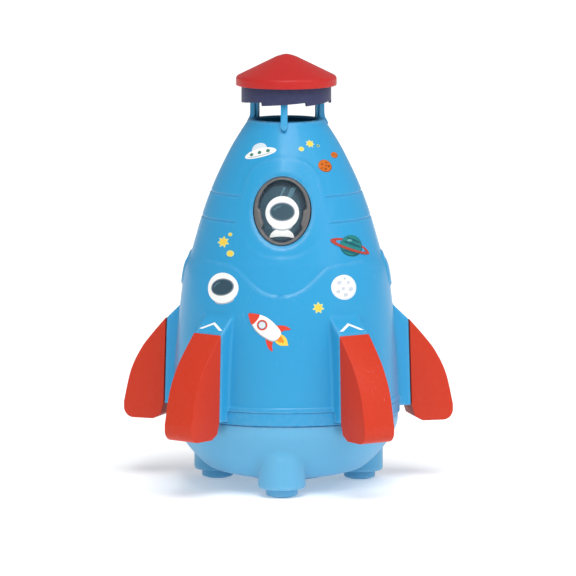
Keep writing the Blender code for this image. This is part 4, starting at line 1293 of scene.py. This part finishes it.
def craterArt(radius, rest, base, dark, edge):
    layers = [(oval(0, 0, radius), edge), (oval(-0.04 * radius, 0.04 * radius, radius * 0.92), base)]
    for u, v, size in rest:
        pit = oval(u * radius, v * radius, size * radius, size * radius * 0.85, 30, steps=20)
        layers.append((pit, dark))
    return layers


def ringedArt():
    ring = (9.6, 2.6)
    back = (bandShape(0, 0, ring, (7.4, 1.5), 0, (12, 168)), "rust")
    front = (bandShape(0, 0, ring, (7.4, 1.5), 0, (168, 372)), "rust")
    layers = [back, (oval(0, 0, 5.3), "tealDark"), (oval(-0.2, 0.25, 4.9), "teal")]
    for v, tall in ((3.0, 0.55), (0.9, 0.7), (-3.2, 0.5)):
        half = math.sqrt(4.8**2 - v**2) * 0.96
        layers.append((oval(0, v, half, tall, steps=30), "tealDark"))
    layers += [(oval(-1.9, 2.1, 1.2, 0.6, 20, steps=20), "tealPale"), front]
    return turnedLayers(layers, -27, 1.08)


def helmetLayers():
    # a plain helmet with a closed visor, 16 mm across
    return [
        (oval(0, -6.4, 5.0, 2.2), "grey"),
        (oval(0, 0, 8.0), "white"),
        (oval(0, 0.4, 6.0, 4.5), "steel"),
        (oval(0, 0.4, 5.4, 3.9), "space"),
        (bandShape(0, 0.4, (4.4, 2.9), (3.8, 2.3), 0, (100, 170), 14), "spacePale"),
    ]


def helmetArt():
    return turnedLayers(helmetLayers(), 15)


def shuttleArt():
    flame = [(-1.7, -6.6), (-2.2, -9.8), (-0.2, -12.6), (0.4, -12.6), (2.2, -9.8), (1.7, -6.6)]
    wing = curved((-2.9, -2.6), (-6.0, -6.0), (-6.4, -9.2), (-4.4, -7.4), (-2.6, -6.2))
    right = [(0, 9.6), (2.0, 7.4), (3.9, 3.0), (4.0, -2.0), (2.5, -7.0)]
    layers = [
        (curved(*flame), "yellow"),
        (curved((-1.0, -6.6), (-1.2, -8.6), (0, -10.6), (1.2, -8.6), (1.0, -6.6)), "flame"),
        (wing, "red"),
        (mirrored(wing), "red"),
        (curved((-2.5, -7.0), (-4.0, -2.0), (-3.9, 3.0), (-2.0, 7.4), *right), "grey"),
        (curved((-1.9, -6.8), (-3.5, -2.0), (-3.4, 3.0), (-1.6, 7.6), *right), "white"),
        (curved((-2.8, 5.6), (-1.6, 8.0), (0, 9.9), (1.6, 8.0), (2.8, 5.6), (0, 5.0)), "red"),
        (oval(0, 1.8, 2.4), "red"),
        (oval(0, 1.8, 1.8), "steel"),
        (oval(0, 1.8, 1.5), "pale"),
    ]
    return turnedLayers(layers, 52, 1.16)


def portholeArt():
    # a plain helmet and shoulders in front of a dark sky; the sky's darker band at the top and right is
    # painted shade of the rim, and two slanted pale bands are painted glints of the glass
    # painted shade of the rim: the lighter sky sits low and left, leaving a dark band at the top and right
    layers = [(oval(0, 0, 13.3, 16.5, steps=80), "spaceDark")]
    layers.append((oval(-1.2, -1.0, 11.2, 14.4, steps=60), "space"))
    # painted reflection: two slanted pale bands stand for glints on the glass in front
    low, top, lean = 4, 12.5, 3.9
    for start, wide in ((-3.4, 1.2), (0.6, 2.6)):
        end = start + wide
        layers.append(([(start, low), (end, low), (end + lean, top), (start + lean, top)], "spacePale"))
    layers.append((oval(0, -14.0, 6.4, 4.6, span=(0, 180), steps=24), "white"))
    return layers + turnedLayers(helmetLayers(), 0, 1.1, (0, -1))


def chevronArt():
    return [([(-6.4, -2.6), (-4.4, -2.6), (0, 0.9), (4.4, -2.6), (6.4, -2.6), (0, 2.5)], "white")]


def artMesh(layers, place, gap):
    # the layers, each cut into small triangles and lifted over the one before it
    vertices, faces, lifts, inks = [], [], [], []
    for number, (outline, ink) in enumerate(layers):
        rows = [np.arange(min(side) + 0.6, max(side), artPitch) for side in zip(*outline)]
        spots = itertools.product(*rows)
        points = [Vector(point) for point in outline] + [Vector(map(float, spot)) for spot in spots]
        made = geometry.delaunay_2d_cdt(points, [], [list(range(len(outline)))], 1, 1e-4)
        start = len(vertices)
        vertices += [place @ Vector((u, v, 0)) for u, v in made[0]]
        faces += [[start + corner for corner in face] for face in made[2]]
        lifts += [gap * (number + 1)] * len(made[0])
        inks += linearColor(ink) * len(made[0])
    mesh = bpy.data.meshes.new("art")
    mesh.from_pydata([tuple(v) for v in vertices], [], faces)
    mesh.attributes.new("lift", "FLOAT", "POINT").data.foreach_set("value", lifts)
    mesh.color_attributes.new("ink", "FLOAT_COLOR", "POINT").data.foreach_set("color", inks)
    return mesh


def makeStickerTree():
    # drops flat art onto a surface along a direction, and gives it thickness
    inputs = [
        ("Geometry", "Geometry", None),
        ("Surface", "Object", None),
        ("Direction", "Vector", (0, 1, 0)),
        ("Reach", "Float", 60.0),
        ("Thickness", "Float", 0.12),
        ("Material", "Material", None),
    ]
    tree, given, out = newTree("layOnSurface", inputs)
    surface = node(tree, "GeometryNodeObjectInfo", {"Object": given["Surface"]}).outputs["Geometry"]
    place = tree.nodes.new("GeometryNodeInputPosition").outputs[0]
    ray = node(tree, "GeometryNodeRaycast", {"Target Geometry": surface, "Source Position": place})
    tree.links.new(given["Direction"], ray.inputs["Ray Direction"])
    tree.links.new(given["Reach"], ray.inputs["Ray Length"])
    lift = node(tree, "GeometryNodeInputNamedAttribute", {"Name": "lift"}, data_type="FLOAT").outputs[0]
    raised = math2(tree, "SUBTRACT", lift, given["Thickness"])
    normal = node(tree, "ShaderNodeVectorMath", {0: ray.outputs["Hit Normal"]}, operation="SCALE")
    tree.links.new(raised, normal.inputs["Scale"])
    spot = {0: ray.outputs["Hit Position"], 1: normal.outputs[0]}
    spot = node(tree, "ShaderNodeVectorMath", spot, operation="ADD")
    missed = node(tree, "FunctionNodeBooleanMath", {0: ray.outputs["Is Hit"]}, operation="NOT").outputs[0]
    landed = {"Geometry": given["Geometry"], "Selection": missed}
    landed = node(tree, "GeometryNodeDeleteGeometry", landed, domain="POINT")
    laid = node(tree, "GeometryNodeSetPosition", {"Geometry": landed.outputs[0]})
    tree.links.new(spot.outputs[0], laid.inputs["Position"])
    thick = node(tree, "GeometryNodeExtrudeMesh", {"Mesh": laid.outputs[0], "Individual": False})
    tree.links.new(given["Thickness"], thick.inputs["Offset Scale"])
    under = node(tree, "GeometryNodeFlipFaces", {"Mesh": laid.outputs[0]})
    both = tree.nodes.new("GeometryNodeJoinGeometry")
    tree.links.new(thick.outputs[0], both.inputs[0])
    tree.links.new(under.outputs[0], both.inputs[0])
    welded = node(tree, "GeometryNodeMergeByDistance", {"Geometry": both.outputs[0], "Distance": 0.0005})
    return endTree(tree, welded, given, out)


stickerTree = makeStickerTree()


def layArt(name, layers, angle, height, lean, surface, material, gap=0.05):
    # angle and height place the art's middle; lean tips the flat art back before it drops
    turn = Matrix.Rotation(math.radians(angle), 4, "Z") @ Matrix.Rotation(math.radians(90 - lean), 4, "X")
    wide = 1 / math.cos(math.radians(angle - artFacing)) if abs(angle) < sideArt else 1.0
    layers = [([(u * wide, v) for u, v in outline], ink) for outline, ink in layers]
    out = Matrix.Rotation(math.radians(angle), 3, "Z") @ Vector((0, -1, 0))
    middle = surface.ray_cast(out * 75 + Vector((0, 0, height)), -out)[1]
    start = Matrix.Translation(middle) @ turn @ Matrix.Translation((0, 0, artFloat))
    toward = turn.to_3x3() @ Vector((0, 0, -1))
    values = {"Surface": surface, "Direction": list(toward), "Thickness": artThick, "Material": material}
    made = runTree(stickerTree, artMesh(layers, start, gap), values)
    return finishPiece(name, made, "rocket", material, (), 50)


orangePits = [(-0.4, 0.3, 0.16), (0.3, 0.5, 0.12), (0.5, -0.1, 0.18), (-0.1, -0.5, 0.16)]
orangePits += [(-0.6, -0.3, 0.1), (0.1, 0.05, 0.1)]
smallPits = [(-0.3, 0.2, 0.2), (0.4, -0.2, 0.18)]
moonPits = [(-0.35, 0.4, 0.2), (0.35, 0.35, 0.15), (0.5, -0.2, 0.2), (-0.1, -0.1, 0.14)]
moonPits += [(-0.5, -0.3, 0.16), (0.05, -0.6, 0.16), (0.1, 0.7, 0.1)]
orangeInks = ("orange", "orangeDark", "orangeDark")
# art, angle, height, how far it leans back
stickers = {
    "saucer": (saucerArt(), -26.0, 180.8, 27),
    "stars_upper": (starArt(2.4, [(-5.0, -2.6, 1.3, "yellow"), (4.0, -1.4, 0.8, "leaf")]), 30.8, 184.6, 28),
    "planet_orange": (craterArt(3.5, orangePits, *orangeInks), 41.5, 173.1, 26),
    "planet_small": (craterArt(1.75, smallPits, *orangeInks), 59.2, 177.9, 28),
    "stars_left": (starArt(3.2, [(2.8, 4.4, 1.0, "yellow"), (4.6, -5.6, 1.75, "yellow")]), -40.8, 133.8, 18),
    "planet_ringed": (ringedArt(), 48.5, 131.7, 18),
    "helmet": (helmetArt(), -35.3, 110.5, 12),
    "moon": (craterArt(6.6, moonPits, "white", "crater", "pale"), 37.3, 111.1, 12),
    "star_lower": (starArt(3.2), 20.6, 101.3, 8),
    "shuttle": (shuttleArt(), -8.0, 91.2, 5),
}
chevronHeight, chevronLean = 91.0, 46.0
pictureLean, pictureGap = 21, 0.03
for name, (layers, angle, height, lean) in stickers.items():
    layArt(f"sticker_{name}", layers, angle, height, lean, bodySurface, stickerInk)
for name, angle in pylon["angles"].items():
    layArt(f"chevrons_{name}", chevronArt(), angle, chevronHeight, chevronLean, bodySurface, stickerInk)
card = paneMesh(porthole["cardHalf"], porthole["cardLift"])
cardSurface = newObject("card_surface", card.copy())
finishPiece("porthole_card", card, "rocket", cardBoard, ["window_card"], 40)
picture = (portholeArt(), 0, body["windowHeight"], pictureLean)
layArt("porthole_picture", *picture, cardSurface, cardInk, pictureGap)
print("stickers")


# screws
# head radius, head thickness, shaft radius, length under the head, distance from the axis, head's height,
# and how far it is turned over
screws = {
    "crown": (1.9, 1.2, 1.0, 9.0, 20.2, 214.5, 0),
    "cover": (2.2, 1.5, 0.95, 4.3, 17.8, 3.7, 180),
    "deck": (3.0, 2.1, 1.25, 12.7, 44.0, 5.3, 180),
}
finScrew = (2.6, 1.6, 1.2, 13.0)
threadPitch = 0.9


def screwMesh(head, thick, shaft, length):
    # an upright screw with its head's top at 0
    turns = int((length - 2) / threadPitch)
    thread = []
    for turn in range(turns):
        low = -thick - 0.6 - turn * threadPitch
        thread += [(shaft * 0.8, low), (shaft, low - threadPitch * 0.35), (shaft, low - threadPitch * 0.5)]
    core = shaft * 0.8
    top = rounded([(0, 0), (head, 0, head * 0.45), (head, -thick, 0.1), (core, -thick)])
    profile = [*top, *thread, (core, -thick - length + 1.2), (0, -thick - length)]
    made = turnedMesh("screw", profile, 40)
    wide, deep = head * 0.26, thick * 0.65
    half = [(head * 0.6, 1), (head * 0.6, -deep * 0.4), (head * 0.3, -deep)]
    recess = half + [(-u, v) for u, v in half[::-1]]
    slots = [prismMesh("slot", recess, wide, angle) for angle in (0, 90)]
    return carve(made, slots)


for name, (*sizes, circle, height, flip) in screws.items():
    screw = screwMesh(*sizes)
    screw.transform(Matrix.Translation((0, -circle, height)) @ Matrix.Rotation(math.radians(flip), 4, "X"))
    owner = "rocket" if name == "crown" else "base"
    nodes = [f"{name}_screw_{number}" for number in (1, 2, 3)]
    finishPiece(f"{name}_screws", around(screw, 3, 0, zincSteel), owner, zincSteel, nodes, 35)
screw = screwMesh(*finScrew)
seat = fin["screwHeight"]
screw.transform(Matrix.Translation((0, -61.8, seat)) @ Matrix.Rotation(math.radians(-90), 4, "X"))
nodes = [f"fin_screw_{name}" for name in pylon["angles"]]
finishPiece("fin_screws", around(screw, 5, 36, zincSteel), "rocket", zincSteel, nodes, 35)


# inside the base
deck = {
    "radius": 52.8,
    "low": 40.0,
    "high": 42.4,
    "boss": (9.5, 45.6),
    "bore": 6.15,
    "drains": (3.5, 30.0, 6, 30),
    "posts": (3.4, 44.0, 9.9),
    "ribs": (12, 11.0, 51.5, 1.6, 37.6),
}
cover = {"radius": 21.8, "low": 5.2, "high": 6.9, "plug": (12.9, 8.9), "drains": (2.2, 7.5), "ribCount": 44}


def deckMesh():
    bossRadius, bossTop = deck["boss"]
    bore = deck["bore"]
    profile = rounded([
        (bore, bossTop, 0.3),
        (bossRadius, bossTop, 0.6),
        (bossRadius, deck["high"], 1.2),
        (deck["radius"], deck["high"], 0.5),
        (deck["radius"], deck["low"], 0.4),
        (bossRadius, deck["low"]),
        (bossRadius, deck["low"] - 2.0, 0.4),
        (bore, deck["low"] - 2.0),
    ])
    made = turnedMesh("deck", profile, 144)
    count, near, far, thick, low = deck["ribs"]
    rib = [(near, deck["low"] + 0.5), (far, deck["low"] + 0.5), (far - 5, low), (near, low)]
    rib = prismMesh("rib", rib, thick)
    radius, circle, bottom = deck["posts"]
    post = rodMesh("post", radius, bottom, deck["low"] + 0.5)
    post.transform(Matrix.Translation((0, -circle, 0)))
    made = carve(made, [around(rib, count, 15, bowlBlue)], "UNION")
    made = carve(made, [around(post, 3, 0, bowlBlue)], "UNION")
    radius, circle, count, start = deck["drains"]
    drain = rodMesh("drain", radius, 30, 50)
    drain.transform(Matrix.Translation((0, -circle, 0)))
    pilot = rodMesh("pilot", 1.1, 5, 24, 24)
    pilot.transform(Matrix.Translation((0, -deck["posts"][1], 0)))
    return carve(carve(made, [around(drain, count, start, bowlBlue)]), [around(pilot, 3, 0, bowlBlue)])


def coverMesh():
    plugRadius, plugTop = cover["plug"]
    radius, low, high = cover["radius"], cover["low"], cover["high"]
    profile = [(0, plugTop), (plugRadius, plugTop, 0.4), (plugRadius, high, 0.3)]
    profile += [(radius, high, 0.4), (radius, low, 0.6), (0, low)]
    made = turnedMesh("cover", rounded(profile), 144)
    near, far = radius - 1.0, radius + 0.3
    rib = prismMesh("rib", [(near, high - 0.2), (far, high - 0.3), (far, low + 0.5), (near, low + 0.2)], 0.9)
    made = carve(made, [around(rib, cover["ribCount"], 0, bowlBlue)], "UNION")
    drain, hole = rodMesh("drain", cover["drains"][0], 0, 12), rodMesh("hole", 1.2, 0, 12, 24)
    drain.transform(Matrix.Translation((0, -cover["drains"][1], 0)))
    hole.transform(Matrix.Translation((0, -bowl["coverScrews"], 0)))
    return carve(carve(made, [around(drain, 3, 60, bowlBlue)]), [around(hole, 3, 0, bowlBlue)])


finishPiece("deck_plate", deckMesh(), "base", bowlBlue, ["base_deck"], 34)
finishPiece("cover_disc", coverMesh(), "base", bowlBlue, ["bottom_cover"], 34)
# (radius, height, rounding) outlines
column = [(4.2, 112.0, 0.2), (6.0, 112.0, 0.6), (6.0, 47.6, 0.8), (8.6, 47.6, 0.5), (8.6, 45.9, 0.3)]
column += [(6.0, 45.9), (6.0, 28.4, 0.3), (4.2, 28.4)]
column = turnedMesh("column", rounded(column), 96)
finishPiece("water_column", column, "base", whiteNylon, ["launch_column"], 34)
nozzle = [(1.6, 115.3, 0.3), (3.2, 115.3, 0.8), (5.4, 113.6, 0.5), (5.4, 112.0, 0.2), (4.15, 112.0)]
nozzle += [(4.15, 104.0, 0.3), (3.0, 104.0, 0.2), (3.0, 108.0, 0.5), (1.6, 110.5)]
nozzle = turnedMesh("nozzle", rounded(nozzle), 96)
finishPiece("jet_nozzle", nozzle, "base", turnedBrass, ["nozzle_tip"], 34)
bushLow, bushHigh = boxOf("glide_bush")
bush = [(radius, height, 0.4) for radius, height in ((6.35, bushHigh.z), (bushHigh.x, bushHigh.z))]
bush += [(radius, height, 0.4) for radius, height in ((bushHigh.x, bushLow.z), (6.35, bushLow.z))]
bush = turnedMesh("bush", rounded(bush), 96)
finishPiece("guide_bush", bush, "lift_bush", whiteNylon, ["glide_bush"], 34)
nutSizes = {"flats": 22.66, "corner": 12.45, "from": 61.0, "to": 65.2}
nutSizes |= {"bore": 8.0, "edge": 0.6, "slant": 0.9}
low, high = nutSizes["from"], nutSizes["to"]
nut = rodMesh("nut", nutSizes["flats"] / math.sqrt(3), low, high, 6)
bore, corner, edge, slant = [nutSizes[key] for key in ("bore", "corner", "edge", "slant")]
turned = [(bore, high, 0.3), (corner - edge, high, 0.6), (corner, high - slant, 0.3)]
turned += [(corner, low + slant, 0.3), (corner - edge, low, 0.6), (bore, low, 0.3)]
turned = rounded(turned)
nut = softened(carve(nut, [turnedMesh("bounds", turned, 96)], "INTERSECT"), 0.25, 2, 30)
nut.transform(outwards(180, bowl["inletHeight"]))
finishPiece("lock_nut", nut, "base", whiteNylon, ["inlet_nut"], 30)
print("inner pieces")


# pieces that keep their own shape
kept = {
    "water_elbow": whiteNylon,
    "column_o_ring": softRubber,
    "inlet_nipple": whiteNylon,
    "inlet_o_ring": softRubber,
    "inlet_gasket": softRubber,
    "filter_screen": zincSteel,
    "guide_spider": bodyBlue,
}
for name, material in kept.items():
    mesh = bpy.data.objects[name].data
    mesh.materials.clear()
    mesh.materials.append(material)

for helper in (bodySurface, cardSurface):
    bpy.data.objects.remove(helper)
sizes = [[list(map(float, corner)) for corner in box] for box in (cadBox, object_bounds())]
print("sizes", sizes)
